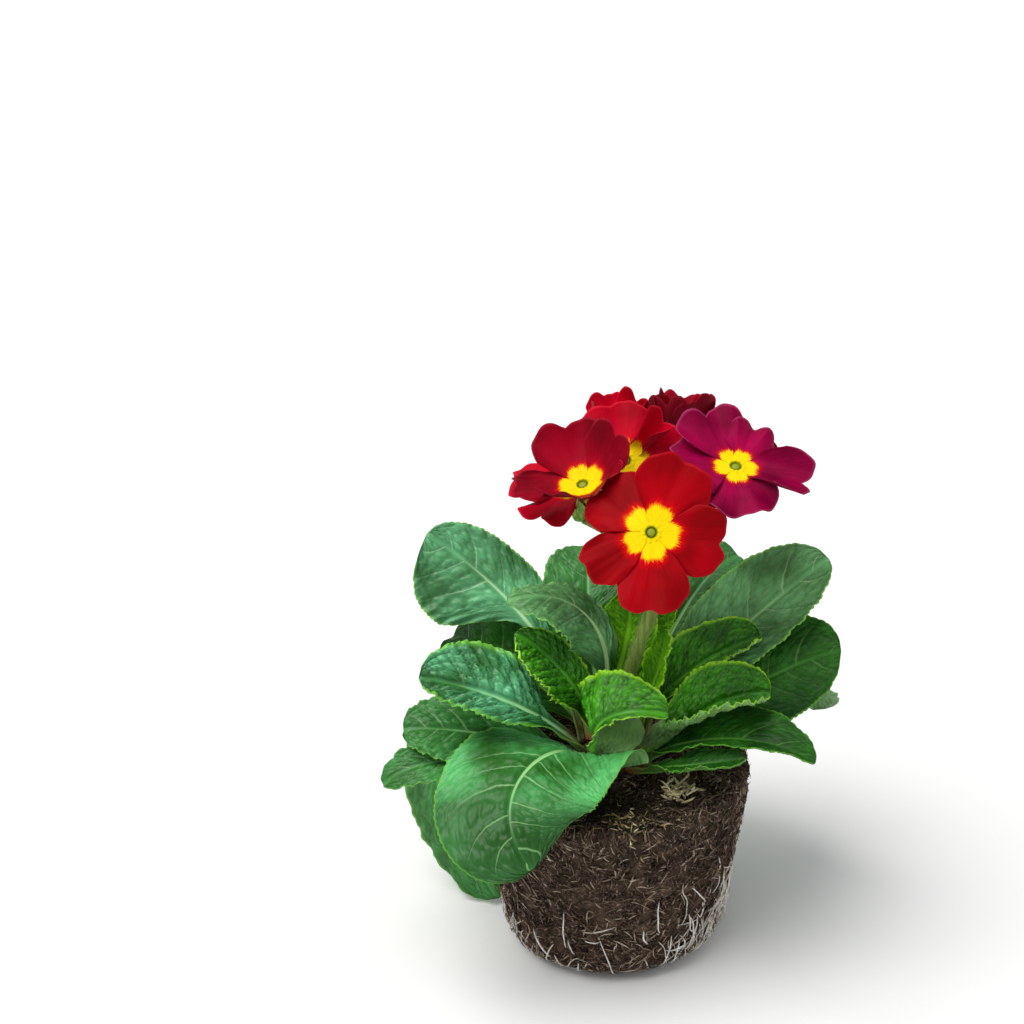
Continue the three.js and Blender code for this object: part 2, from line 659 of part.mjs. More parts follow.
// A point of one petal: u runs from the throat to the rim, v from edge to edge.
function petalPoint(bloom, petal, u, v) {
  const { throat, normal, across, over } = bloomFrame(bloom);
  const { drop, notchWidth } = bloomSize;
  const notch = 1 - bloom.notch[petal] * Math.exp(-(Math.abs(v / notchWidth) ** 1.4));
  const rim = bloom.radius * bloom.reach[petal] * (1 - drop * Math.abs(v) ** 3) * notch;
  const r = bloomSize.throat + (rim - bloomSize.throat) * u;
  const way = petalWay(bloom, petal);
  const gap = v < 0 ? way - petalWay(bloom, petal - 1) : petalWay(bloom, petal + 1) - way;
  const share = (gap / 2) * bloomSize.hingeShare;
  const opened = degToRad(lerp(share, bloom.spread[petal], smoothstep(u, 0, 0.9)));
  const lift = degToRad(bloom.lift[petal]) * (0.5 + 0.5 * u);
  const overlap = bloomSize.overlap * v * smoothstep(u, 0, 0.4);
  const curl = degToRad(bloom.curl[petal]) * smoothstep(u, 0, 0.6);
  const ruffle = bloom.ruffle * Math.sin(2.5 * Math.PI * v + 2.1 * petal) * u ** 3;
  const reach = r * Math.cos(v * opened) - bloomSize.throat;
  const half = r * Math.sin(opened);
  const out = bloomSize.throat + reach * Math.cos(lift);
  const wide = curl > 0.1 ? (half * Math.sin(curl * v)) / curl : r * Math.sin(v * opened);
  const rolled = curl > 0.1 ? (half * (1 - Math.cos(curl * v))) / curl : ruffle;
  const high = reach * Math.sin(lift) + overlap + rolled;
  const turn = degToRad(way);
  return throat.clone()
    .addScaledVector(across, out * Math.cos(turn) - wide * Math.sin(turn))
    .addScaledVector(over, out * Math.sin(turn) + wide * Math.cos(turn))
    .addScaledVector(normal, high);
}

function makeBloom(bloom) {
  const rows = 2;
  const columns = 4;
  const bodies = [];
  for (let petal = 0; petal < 5; petal += 1) {
    const grid = [];
    for (let i = 0; i <= rows; i += 1) {
      const row = [];
      for (let j = 0; j <= columns; j += 1) {
        row.push(petalPoint(bloom, petal, i / rows, (2 * j) / columns - 1));
      }
      grid.push(row);
    }
    bodies.push(sheetBody(grid, null, bloomSize.petalThickness));
  }
  const { throat, normal } = bloomFrame(bloom);
  const { tubeLength, tubeRadius, limbRadius } = bloomSize;
  const profile = [
    [0, -tubeLength],
    [tubeRadius, -tubeLength],
    [tubeRadius, -3],
    [limbRadius, -0.7],
    [limbRadius, 0.7],
    [2.1, 0.7],
    [1.4, -6],
    [0.5, -6],
    [0.8, -2],
    [0, -1.4],
  ];
  bodies.push(turnedBody(throat, normal, profile, 8));
  return fuse(bodies);
}

// The calyx around a tube's foot: a cup with every other rim point cut down between the teeth.
function calyxBody(heel, normal) {
  const { calyxRadius, calyxLength, calyxTooth } = bloomSize;
  const profile = [
    [0, -1.4],
    [calyxRadius, 2],
    [calyxRadius + 0.3, calyxLength],
    [calyxRadius - 0.5, calyxLength],
    [calyxRadius - 0.8, 1.2],
    [0, 1.2],
  ];
  const toothed = (z, j) => (z === calyxLength && j % 2 ? z - calyxTooth : z);
  return turnedBody(heel, normal, profile, 10, toothed);
}

function makeStalk() {
  const lift = (p) => new THREE.Vector3(...p).add(new THREE.Vector3(0, 0, ball.height));
  const scapePath = new THREE.QuadraticBezierCurve3(lift(stalk.foot), lift(stalk.lean), umbel);
  const swelling = (s) => stalk.radius + stalk.swelling * smoothstep(s, 0.85, 1);
  const bodies = [rodBody(scapePath, swelling, stalk.sides, 6)];
  for (const bloom of blooms) {
    const { throat, normal } = bloomFrame(bloom);
    const heel = throat.clone().addScaledVector(normal, -bloomSize.tubeLength - 1.6);
    const outward = heel.clone().sub(umbel).setZ(0).setLength(stalk.pedicelSpread);
    const root = umbel.clone().add(outward.setZ(-1.5));
    const end = heel.clone().addScaledVector(normal, -0.7);
    const half = root.clone().lerp(end, 0.5).add(new THREE.Vector3(0, 0, 4));
    const pedicel = new THREE.QuadraticBezierCurve3(root, half, end);
    bodies.push(rodBody(pedicel, () => stalk.pedicelRadius, 5, 3));
    bodies.push(calyxBody(heel, normal));
  }
  for (let n = 0; n < stalk.bracts; n += 1) {
    const tip = umbel.clone().addScaledVector(direction(72 * n + 20, 10), stalk.bractLength);
    const bract = new THREE.LineCurve3(umbel.clone().add(new THREE.Vector3(0, 0, -1)), tip);
    bodies.push(rodBody(bract, (s) => 1.9 - 1.5 * s, 4, 2, 0.4));
  }
  return fuse(bodies);
}

// ---- the plant ----

const plant = new THREE.Group();
plant.name = 'primrose';

function place(name, geometry, material) {
  const mesh = new THREE.Mesh(geometry, material);
  mesh.name = name;
  plant.add(mesh);
}

place('root_ball', makeRootBall(), looks.soil());
place('root_net', makeRootNet(), looks.root());
place('crown', makeCrown(), looks.crown());
place('flower_stalk', makeStalk(), looks.stalk());
for (const leaf of leaves) place(leaf.name, makeLeaf(leaf), looks.leaf());
for (const bloom of blooms) {
  place(bloom.name, makeBloom(bloom), bloom.name === 'bloom_right' ? looks.magenta() : looks.red());
}

export default plant;
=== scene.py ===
import math

import bpy
import numpy as np
from mathutils import Matrix, Vector


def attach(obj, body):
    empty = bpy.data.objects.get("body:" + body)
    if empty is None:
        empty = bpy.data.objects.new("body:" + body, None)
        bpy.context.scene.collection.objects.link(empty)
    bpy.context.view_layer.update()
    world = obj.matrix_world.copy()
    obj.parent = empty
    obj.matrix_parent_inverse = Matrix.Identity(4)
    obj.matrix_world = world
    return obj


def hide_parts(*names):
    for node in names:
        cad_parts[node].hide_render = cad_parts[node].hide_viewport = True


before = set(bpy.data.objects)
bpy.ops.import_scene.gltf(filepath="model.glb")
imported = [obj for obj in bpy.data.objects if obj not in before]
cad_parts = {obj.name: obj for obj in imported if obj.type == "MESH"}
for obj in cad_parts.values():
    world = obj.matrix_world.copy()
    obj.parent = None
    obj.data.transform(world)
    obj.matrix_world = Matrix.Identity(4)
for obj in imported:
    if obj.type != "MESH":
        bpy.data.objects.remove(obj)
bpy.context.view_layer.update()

mm = 0.001               # all shapes are worked out in millimetres and stored in metres
soilTop = 72.0           # height of the root ball, where the crown stands
soil = np.array([0, 0, soilTop])


# unit vectors along the last axis
def unit(v):
    return v / np.maximum(np.linalg.norm(v, axis=-1, keepdims=True), 1e-9)


# 0 below low, 1 above high, a smooth cubic between
def smooth(x, low, high):
    s = np.clip((x - low) / (high - low), 0, 1)
    return s * s * (3 - 2 * s)


# angles of so many points evenly round a circle
def turns(sides):
    return 2 * math.pi * np.arange(sides) / sides


# soft lumps in space: a sum of plane sine waves in fixed random directions, about -1 to 1
def lumps(points, size, seed, waves=10):
    rng = np.random.default_rng(seed)
    ways = unit(rng.normal(size=(waves, 3)))
    pitch = 2 * math.pi / (size * rng.uniform(0.7, 1.5, waves))
    phase = rng.uniform(0, 2 * math.pi, waves)
    return np.sin((points @ ways.T) * pitch + phase).sum(-1) / math.sqrt(waves)


# cell pattern: distances to the nearest and second nearest of one shifted seed per unit square;
# the fraction of a large sine serves as an even, repeatable random number
def cells(a, b, seed, shift=0.75):
    nearest = np.full(np.broadcast(a, b).shape, 9.0)
    second = nearest.copy()
    for da in (-1, 0, 1):
        for db in (-1, 0, 1):
            ja, jb = np.floor(a) + da, np.floor(b) + db
            sx = np.modf(np.abs(np.sin(ja * 12.99 + jb * 78.23 + seed) * 43758.55))[0]
            sy = np.modf(np.abs(np.sin(ja * 39.35 + jb * 11.14 + seed * 1.7) * 24634.63))[0]
            d = np.hypot(ja + 0.5 + shift * (sx - 0.5) - a, jb + 0.5 + shift * (sy - 0.5) - b)
            second = np.minimum(second, np.maximum(nearest, d))
            nearest = np.minimum(nearest, d)
    return nearest, second


# quads between the rows and columns of a grid of point numbers, over any leading axes
def gridQuads(index):
    corners = [index[..., :-1, :-1], index[..., 1:, :-1], index[..., 1:, 1:], index[..., :-1, 1:]]
    return np.stack(corners, -1).reshape(-1, 4)


# quads of rings joined band by band; the first and the last ring each count as one point
def ringQuads(*shape):
    index = np.arange(math.prod(shape)).reshape(shape)
    index[..., 0, :], index[..., -1, :] = index[..., 0, :1], index[..., -1, :1]
    return gridQuads(np.concatenate([index, index[..., :1]], axis=-1))


# quads of a closed shell between two grids: the upper faces, the under faces turned over, and a
# strip round the rim; with a tip, the last row of each runs into one point
def shellQuads(rows, columns, tip=False):
    upper = np.arange(rows * columns).reshape(rows, columns)
    if tip:
        upper[-1, :] = upper[-1, 0]
    under = upper + rows * columns
    rim = np.concatenate([upper[:, 0], upper[-1, 1:], upper[-2::-1, -1], upper[0, -2::-1]])
    strip = np.stack([rim[1:], rim[:-1], rim[:-1] + rows * columns, rim[1:] + rows * columns], -1)
    return np.concatenate([gridQuads(upper), gridQuads(under)[:, ::-1], strip])


# quads with two equal neighbouring corners become triangles, and slivers with fewer are dropped
def tidyFaces(quads):
    same = quads == np.roll(quads, -1, axis=1)
    faces = [quads[~same.any(1)]]
    for k in range(4):
        keep = [i for i in range(4) if i != k]
        faces.append(quads[same[:, k] & (same.sum(1) == 1)][:, keep])
    return [f for f in faces if len(f)]


# volume inside closed faces, positive when they point out
def insideVolume(points, faces):
    total = 0.0
    for f in faces:
        for k in range(1, f.shape[1] - 1):
            a, b, c = points[f[:, 0]], points[f[:, k]], points[f[:, k + 1]]
            total += np.einsum("ij,ij->i", np.cross(a, b), c).sum() / 6
    return total


# one mesh from points, faces and values per point; faces are turned so that they point out
def makeMesh(name, points, quads, values, uv):
    faces = tidyFaces(quads)
    if insideVolume(points, faces) < 0:
        faces = [f[:, ::-1] for f in faces]
    used, flat = np.unique(np.concatenate([f.ravel() for f in faces]), return_inverse=True)
    sizes = np.concatenate([np.full(len(f), f.shape[1]) for f in faces])
    starts = np.cumsum(sizes) - sizes
    mesh = bpy.data.meshes.new(name)
    mesh.vertices.add(len(used))
    mesh.vertices.foreach_set("co", (points[used] * mm).astype(np.float32).ravel())
    mesh.loops.add(len(flat))
    mesh.loops.foreach_set("vertex_index", flat.astype(np.int32))
    mesh.polygons.add(len(sizes))
    mesh.polygons.foreach_set("loop_start", starts.astype(np.int32))
    mesh.update(calc_edges=True)
    mesh.shade_smooth()
    for key, value in (values or {}).items():
        layer = mesh.attributes.new(key, "FLOAT", "POINT")
        layer.data.foreach_set("value", value.ravel()[used].astype(np.float32))
    if uv is not None:
        layer = mesh.uv_layers.new(name="UVMap")
        layer.data.foreach_set("uv", uv[used][flat].astype(np.float32).ravel())
    return mesh


# a piece of the plant from closed bodies, each given as its points and quads
def addPiece(name, bodies, material, slot, *nodes, values=None, uv=None):
    points = [p.reshape(-1, 3) for p, _ in bodies]
    before = np.cumsum([0] + [len(p) for p in points])
    quads = np.concatenate([q + start for (_, q), start in zip(bodies, before)])
    mesh = makeMesh(name, np.concatenate(points), quads, values, uv)
    piece = bpy.data.objects.new(name, mesh)
    bpy.context.scene.collection.objects.link(piece)
    mesh.materials.append(material)
    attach(piece, "root")
    if nodes:
        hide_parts(*nodes)


# tapered strands: each spine is a row of points with rings square to it, drawn to a point at
# both ends
def strands(spines, radii, sides, reference=(0.31, 0.52, 0.79)):
    along = unit(np.gradient(spines, axis=1))
    across = unit(np.cross(along, np.array(reference)))
    over = np.cross(along, across)
    turn = turns(sides)[:, None]
    ring = np.cos(turn) * across[:, :, None] + np.sin(turn) * over[:, :, None]
    return spines[:, :, None] + radii[:, :, None, None] * ring, ringQuads(*spines.shape[:2], sides)


# a turned body: the profile of (radius, height) points goes round an axis, and ends on it
def turned(origin, axis, profile, sides, liftAt=None):
    side = np.cross([0, 0, 1.0], axis)
    across = unit(side) if np.linalg.norm(side) > 1e-6 else np.array([1.0, 0, 0])
    up = np.cross(axis, across)
    turn = turns(sides)
    radius, height = np.array(profile, float).T
    lift = liftAt(radius[:, None], height[:, None], turn) if liftAt else 0 * turn
    points = origin + (height[:, None] + lift)[..., None] * axis + radius[:, None, None] * (
        np.cos(turn)[:, None] * across + np.sin(turn)[:, None] * up)
    return points, ringQuads(len(profile), sides)


# a number or colour inside a material; sums and products with it add the shader nodes for them
class Value:
    def __init__(self, socket):
        self.socket = socket

    def __add__(self, other):
        return mathNode("ADD", self, other)

    def __sub__(self, other):
        return mathNode("SUBTRACT", self, other)

    def __rsub__(self, other):
        return mathNode("SUBTRACT", other, self)

    def __mul__(self, other):
        return mathNode("MULTIPLY", self, other)

    def __truediv__(self, other):
        return mathNode("DIVIDE", self, other)


def setInput(socket, value):
    if isinstance(value, Value):
        socket.id_data.links.new(value.socket, socket)
    else:
        socket.default_value = (*value, 1) if socket.type == "RGBA" else value


# a shader node; its inputs are given by name, or by number as n0, n1 and so on
def addNode(kind, tree=None, settings=None, output=0, **inputs):
    tree = tree or next(v.socket.id_data for v in inputs.values() if isinstance(v, Value))
    made = tree.nodes.new("ShaderNode" + kind)
    for key, value in (settings or {}).items():
        setattr(made, key, value)
    for key, value in inputs.items():
        setInput(made.inputs[int(key[1:]) if key[1:].isdigit() else key], value)
    return Value(made.outputs[output])


def mathNode(operation, a, b=0.0, clamp=False):
    return addNode("Math", settings={"operation": operation, "use_clamp": clamp}, n0=a, n1=b)


def blend(factor, a, b):
    return addNode("Mix", settings={"data_type": "RGBA"}, output=2, n0=factor, n6=a, n7=b)


# 0 at low, 1 at high, eased at both ends
def span(value, low, high):
    return addNode("MapRange", settings={"interpolation_type": "SMOOTHSTEP"}, n0=value, n1=low, n2=high)


def noise(place, scale, detail=3.0, roughness=0.5):
    return addNode("TexNoise", output="Fac", Vector=place, Scale=scale, Detail=detail, Roughness=roughness)


def pointValue(tree, name):
    return addNode("Attribute", tree, {"attribute_name": name}, "Fac")


# a new material, its node tree and the place in the object's own space
def newMaterial(name, **inputs):
    material = bpy.data.materials.new(name)
    material.use_nodes = True
    tree = material.node_tree
    for key, value in inputs.items():
        setInput(tree.nodes["Principled BSDF"].inputs[key.replace("_", " ")], value)
    return material, tree, addNode("TexCoord", tree, output="Object")


# gives a material its colour, and its bumps from a height
def paint(material, colour, height=None, strength=0.5, distance=0.0006):
    inputs = material.node_tree.nodes["Principled BSDF"].inputs
    setInput(inputs["Base Color"], colour)
    if height is not None:
        bump = addNode("Bump", Strength=strength, Distance=distance, Height=height)
        setInput(inputs["Normal"], bump)
    return material


# a material of one plain colour
def plainMaterial(name, colour, **inputs):
    return newMaterial(name, Base_Color=colour, **inputs)[0]


# leaf skin: clouded green, with painted shade in the creases, along the lines of the net and towards
# the tip; a side vein is a thin pale line where the vein count is whole; the rim is paler, and so is
# the underside
def leafMaterial(name, look):
    material, tree, place = newMaterial(
        name, Roughness=look["roughness"], Specular_IOR_Level=look["shine"])
    bulge, out, phase, fromRib, pitch, along, blade, under = (pointValue(tree, key) for key in (
        "bulge", "out", "phase", "fromRib", "pitch", "along", "blade", "under"))
    deep, pale = np.array(look["deep"]), np.array(look["under"])
    cloud = noise(place, 50.0, 5.0)
    top = blend(span(cloud, 0.30, 0.66), deep, look["fresh"])
    # painted shade: the blade darkens towards its tip, where it curves down away from the light
    top = blend(span(along, 0.4, 0.9) * look["paintedTipShade"], top, 0.55 * deep)

    count = noise(place, 190.0, 2.0) * 0.10 + phase
    clear = span(fromRib, 0.5, 1.8)
    cellPlace = addNode("CombineXYZ", n0=count * 3.2, n1=fromRib * 0.42, n2=pitch * 3.1)
    border = addNode("TexVoronoi", settings={"feature": "DISTANCE_TO_EDGE"}, Vector=cellPlace, Scale=1.0)
    net = span(border, 0.22, 0.0) * clear
    # painted shade: the creases between the domes and the lines of the net are darkened
    crease = span(bulge, 0.9, 0.15) * clear
    top = blend(crease * (0.9 * look["puckered"]), top, 0.35 * deep)
    top = blend(net * (0.45 * look["puckered"]), top, 0.35 * deep)

    off = mathNode("ABSOLUTE", mathNode("FRACT", count + 0.5) - 0.5) * pitch
    line = mathNode("SUBTRACT", 1.0, off / (0.46 - out * 0.32), clamp=True)
    line = line * blade * span(out, 1.0, 0.1) * look["veined"]
    toTip = 1.0 - along
    rib = span(fromRib / (toTip * toTip * 1.5 + 0.32), 1.15, 0.55)
    lines = mathNode("MAXIMUM", rib * (span(along, 0.95, 0.45) * look["ribbed"]), line)
    top = blend(lines, top, look["vein"])
    top = blend(span(out, 1.0 - look["rimWide"], 1.0) * 0.75, top, look["rim"])

    below = blend(span(cloud, 0.3, 0.7), pale, 0.65 * pale + 0.35 * deep)
    below = blend(net * 0.25, below, look["vein"])
    below = blend(mathNode("MAXIMUM", rib, line), below, look["vein"])
    skin = blend(span(under, 0.35, 0.65), top, below)
    foot = span(along, 0.22, 0.0) * span(fromRib, 4.0, 1.0) * span(noise(place, 260.0), 0.2, 0.6)
    skin = blend(foot, skin, (0.30, 0.10, 0.05))
    domes = span(border, 0.0, 0.4) * clear
    return paint(material, skin, domes * look["puckered"] - lines * 0.4)


# deep and fresh are the clouded greens of the blade; veined is how pale its side veins are, ribbed
# the midrib, puckered how deep the painted shade in its creases and net lines is and how raised its
# cells are, and the tip shade how far painted shade darkens it towards the tip
leafLook = {
    "deep": (0.022, 0.15, 0.012), "fresh": (0.07, 0.36, 0.075), "vein": (0.42, 0.8, 0.32),
    "rim": (0.16, 0.48, 0.045), "under": (0.12, 0.3, 0.08), "veined": 0.35, "ribbed": 0.85,
    "puckered": 0.6, "rimWide": 0.06, "paintedTipShade": 0.2, "shine": 0.4, "roughness": 0.42,
}
leafLooks = {
    "old": dict(),
    "broad": dict(deep=(0.02, 0.145, 0.01), fresh=(0.112, 0.54, 0.15), veined=0.5, puckered=0.32,
                  paintedTipShade=0.9, rimWide=0.04, shine=0.3),
    "blue": dict(deep=(0.03, 0.21, 0.03), fresh=(0.15, 0.62, 0.29), vein=(0.5, 0.92, 0.42),
                 rim=(0.24, 0.72, 0.05), veined=0.12, puckered=0.8, rimWide=0.16, shine=0.5,
                 roughness=0.36),
    # the sky look is a paler, bluer green: partly the leaf's own blue-green and partly painted sky sheen
    "sky": dict(deep=(0.034, 0.175, 0.038), fresh=(0.165, 0.59, 0.26), vein=(0.66, 0.95, 0.55),
                rim=(0.2, 0.56, 0.06), puckered=0.35, shine=0.45),
    "olive": dict(deep=(0.044, 0.17, 0.028), fresh=(0.18, 0.51, 0.18), vein=(0.6, 0.92, 0.42),
                  rim=(0.3, 0.7, 0.06), puckered=0.5),
    # the dark look is a deep green: partly the leaves' own colour and partly painted shade, for leaves
    # that lie in shadow
    "dark": dict(deep=(0.008, 0.065, 0.003), fresh=(0.036, 0.21, 0.014), vein=(0.2, 0.5, 0.09),
                 rim=(0.16, 0.46, 0.03), under=(0.06, 0.17, 0.03), ribbed=0.6, shine=0.18),
    "fresh": dict(deep=(0.024, 0.19, 0.004), fresh=(0.105, 0.51, 0.02), vein=(0.22, 0.64, 0.07),
                  rim=(0.48, 0.98, 0.03), under=(0.24, 0.42, 0.15), veined=0.1, ribbed=0.5,
                  puckered=1.0, rimWide=0.13, shine=0.32, roughness=0.36),
    "young": dict(deep=(0.07, 0.36, 0.002), fresh=(0.29, 0.82, 0.012), vein=(0.55, 0.92, 0.1),
                  rim=(0.45, 0.95, 0.03), under=(0.3, 0.62, 0.06), veined=0.15, ribbed=0.6,
                  puckered=0.8, rimWide=0.1, shine=0.2),
}
leafSkins = {key: leafMaterial("leaf" + key.capitalize(), {**leafLook, **look})
             for key, look in leafLooks.items()}
print("leaf materials ready")

# crown steps that the leaf feet sit against: radius and height above the soil
crownSteps = {"low": (14.0, 1.8), "middle": (11.0, 5.8), "inner": (8.3, 10.0)}
# at is the compass angle of a leaf's foot on its step, and seat how much closer it sits; path has
# the midrib's points at a third and two thirds and its tip, and face is where the upper side looks;
# half is half the width, and cup the angle that the blade curls up by from the foot on (cupTip at
# the tip); a pair of values is for the left and the right half
leafShape = {
    "seat": 0.0, "foot": 2.2, "shoulder": 0.16, "widest": 0.64, "round": 2.4, "turn": 0.6,
    "slant": 0.28, "rows": 100, "columns": 52, "thickness": 0.62, "keel": 1.15, "veins": 9,
    "across": 5.0, "bulge": 0.6, "tooth": 0.4, "frill": 0.5, "look": "old", "slot": "leaf",
}
farLeaf = {"rows": 72, "columns": 36}
lowFarLeaf = {**farLeaf, "step": "low", "face": (0, 0.2, 0.9), "cup": 5, "bulge": 0.5}
heartLeaf = {"step": "inner", "rows": 88, "veins": 12, "look": "young", "slot": "leaf_young"}
leaves = {
    "leaf_front_wide": dict(
        step="low", at=232, seat=0.5, path=((-22, -19, 14), (-35, -43, 12), (-27.5, -64, -5)),
        face=(-0.1, -0.5, 0.85), half=(31, 29), foot=(30, 2.2), cup=(40, -5), cupTip=(-16, -18),
        shoulder=-0.1, widest=0.6, rows=144, columns=88, veins=8, across=5.5, bulge=0.7, look="broad"),
    "leaf_left": dict(
        step="middle", at=200, seat=0.7, path=((-24, -9, 22), (-45, -12, 35), (-69, -13, 42)),
        face=(-0.1, -0.5, 0.85), half=(10.5, 18), cup=12, veins=10, across=4.0, bulge=1.5, look="blue"),
    "leaf_left_tall": dict(
        step="middle", at=168, seat=0.4, path=((-23, 14, 36), (-44, 28, 57), (-68, 36, 74)),
        face=(-0.35, -0.5, 0.8), half=(24.5, 15), cup=(0, 12), shoulder=(0.46, 0.16),
        widest=(0.74, 0.62), round=2.6, rows=128, columns=72, veins=8, across=4.0, bulge=0.8,
        frill=0.7, look="sky"),
    "leaf_left_arching": dict(
        step="inner", at=158, seat=0.5, path=((-2, 10, 36), (-13, 12, 57), (-38, 7, 62)),
        face=(-0.2, -0.2, 0.95), half=(17, 9), cup=-8, bulge=0.85, frill=0.7, look="olive"),
    "leaf_left_young": dict(
        step="inner", at=200, seat=0.6, path=((-11, 0, 24), (-20, 2, 38), (-35, 4, 50)),
        face=(0.5, -0.5, 0.7), half=(17, 9), cup=30, turn=0.3, veins=11, across=3.5, bulge=1.3,
        look="fresh", slot="leaf_young"),
    "leaf_front_young": dict(
        step="middle", at=262, path=((-7, -16, 16), (-2, -21, 30), (20, -24, 33)),
        face=(-0.2, -0.5, 0.85), half=(20, 3.5), cup=(5, 25), cupTip=(5, 20), shoulder=(0.12, 0.45),
        widest=(0.38, 0.75), slant=0.08, across=4.5, bulge=0.9, tooth=0.6, look="fresh",
        slot="leaf_young"),
    "leaf_right_folded": dict(
        step="middle", at=332, seat=1.2, path=((20, -10, 16), (36, -14, 31), (56, -18, 38)),
        face=(0, -0.5, 0.85), half=(15, 17), cup=(15, 150), cupTip=(10, 60), shoulder=0.08,
        veins=10, across=4.5, bulge=1.4, tooth=0.6, frill=0.25, look="fresh"),
    "leaf_right": dict(
        step="middle", at=7, path=((17, 3, 23), (34, 7, 37), (54, 9, 46)),
        face=(0, -0.4, 0.9), half=(14, 6), cup=(15, 30), across=4.0, bulge=1.3, look="fresh"),
    "leaf_right_tall": dict(
        step="middle", at=48, path=((24, 10, 25), (50, 20, 46), (79, 30, 67)),
        face=(0, -0.6, 0.8), half=(19, 15), cup=(12, 20), round=2.8, rows=128, columns=72, veins=8,
        across=3.5, bulge=0.8, frill=0.6, look="olive"),
    "leaf_right_broad": dict(
        step="low", at=5, path=((28, -2, 15.5), (56, 6, 30), (83, 9, 40)),
        face=(0.1, -0.5, 0.85), half=(22, 18), cup=(10, -5), shoulder=(0.32, 0.16), rows=120,
        columns=64, veins=8, across=6.0, bulge=0.42, look="dark"),
    "leaf_right_low": dict(
        step="low", at=330, path=((20, -14, 13), (43, -25, 24), (71, -36, 21)),
        face=(0, -0.3, 0.95), half=(17, 8), cup=(10, 40), widest=0.5, round=1.7, bulge=0.4, look="dark"),
    "leaf_right_small": dict(
        step="low", at=302, seat=1.2, path=((17, -21, 9), (32, -29, 16), (47, -32, 20)),
        face=(0, -0.2, 0.95), half=(6, 12), cup=(30, 50), veins=8, across=3.5, bulge=0.35,
        frill=0.35, look="dark", slot="leaf_young"),
    "leaf_left_lower": dict(
        step="low", at=177, path=((-26, -4, 8), (-52, -8, 16), (-76, -9, 17)),
        face=(0, -0.4, 0.9), half=15, cup=10, bulge=0.7),
    "leaf_left_low": dict(
        step="low", at=198, seat=0.4, path=((-28, -10, 4), (-56, -17, 10), (-83, -22, 2)),
        face=(0, -0.3, 0.9), half=13, cup=10, widest=0.55, round=1.7, bulge=0.7),
    "leaf_left_hanging": dict(
        step="low", at=158, seat=1.3, path=((-42.5, 14, 9), (-59, 17, -20), (-44, 6, -69)),
        face=(-0.4, -0.9, 0.1), half=22, cup=(-110, 0), shoulder=0.3, veins=10, across=5.5, bulge=0.95),
    "leaf_heart_left": dict(
        at=115, seat=0.6, path=((2, 14, 27), (6, 20, 43), (6, 26, 56)),
        face=(0, -0.8, 0.5), half=11, cup=20, columns=44, across=3.5, bulge=0.9, **heartLeaf),
    "leaf_heart_right": dict(
        at=40, seat=0.8, path=((8, 15, 24), (13, 24, 40), (22, 31, 54)),
        face=(-0.1, -0.8, 0.5), half=9, cup=20, columns=44, across=3.5, bulge=0.9, **heartLeaf),
    "leaf_heart_front": dict(
        at=345, seat=0.5, path=((12, 1, 22), (17, 3, 37), (20, 5, 51)),
        face=(-0.5, -0.3, 0.5), half=7, cup=25, columns=36, across=3.0, bulge=0.7, **heartLeaf),
    "leaf_back_tall": dict(
        step="middle", at=110, seat=0.9, path=((-7, 28, 27), (-9, 45, 46), (-8, 66, 52)),
        face=(0, -0.4, 0.9), half=17, cup=10, **farLeaf),
    "leaf_left_back": dict(
        step="middle", at=138, seat=1.1, path=((-21, 14, 17), (-42, 22, 30), (-60, 32, 33)),
        face=(-0.1, -0.3, 0.9), half=21, cup=10, look="dark", **farLeaf),
    "leaf_right_back": dict(
        step="middle", at=75, seat=0.8, path=((18, 28, 28), (32, 44, 46), (48, 60, 52)),
        face=(0, -0.4, 0.9), half=19, cup=10, **farLeaf),
    "leaf_back_low_left": dict(
        at=125, seat=1.5, path=((-22, 34, 11), (-38, 62, 10), (-46, 82, -12)),
        half=25, **lowFarLeaf),
    "leaf_back_low": dict(
        at=80, seat=1.4, path=((12, 34, 12), (24, 62, 12), (32, 86, -8)),
        half=24, look="blue", **lowFarLeaf),
    "leaf_back_low_right": dict(
        at=40, seat=1.5, path=((34, 24, 12), (60, 40, 12), (78, 50, -10)),
        half=23, **lowFarLeaf),
}


# the midrib: the cubic curve through the foot, the points at a third and two thirds, and the tip
def midrib(leaf, x):
    radius, height = crownSteps[leaf["step"]]
    a = math.radians(leaf["at"])
    radius -= leaf["seat"]
    foot = np.array([radius * math.cos(a), radius * math.sin(a), height])
    first, second, tip = np.array(leaf["path"], float)
    k1 = (-5 * foot + 18 * first - 9 * second + 2 * tip) / 6
    k2 = (2 * foot - 9 * first + 18 * second - 5 * tip) / 6
    s = x[..., None]
    centre = (1 - s) ** 3 * foot + 3 * s * (1 - s) ** 2 * k1 + 3 * s * s * (1 - s) * k2 + s ** 3 * tip
    along = (1 - s) ** 2 * (k1 - foot) + 2 * s * (1 - s) * (k2 - k1) + s * s * (tip - k2)
    return centre + soil, unit(along)


# a value given once for the blade, or for its left and right halves
def ofSide(value, t):
    return np.where(t >= 0, *np.broadcast_to(value, 2))


# half the blade's width: a narrow stem that swells to the widest place, then a round end
def halfWidth(leaf, x, t):
    full, stem, shoulder, widest = (
        ofSide(leaf[key], t) for key in ("half", "foot", "shoulder", "widest"))
    grow = stem + (full - stem) * smooth(x, shoulder, widest)
    beyond = np.clip((x - widest) / (1 - widest), 0, 1)
    return np.where(x < widest, grow, full * np.sqrt(np.clip(1 - beyond ** leaf["round"], 0, 1)))


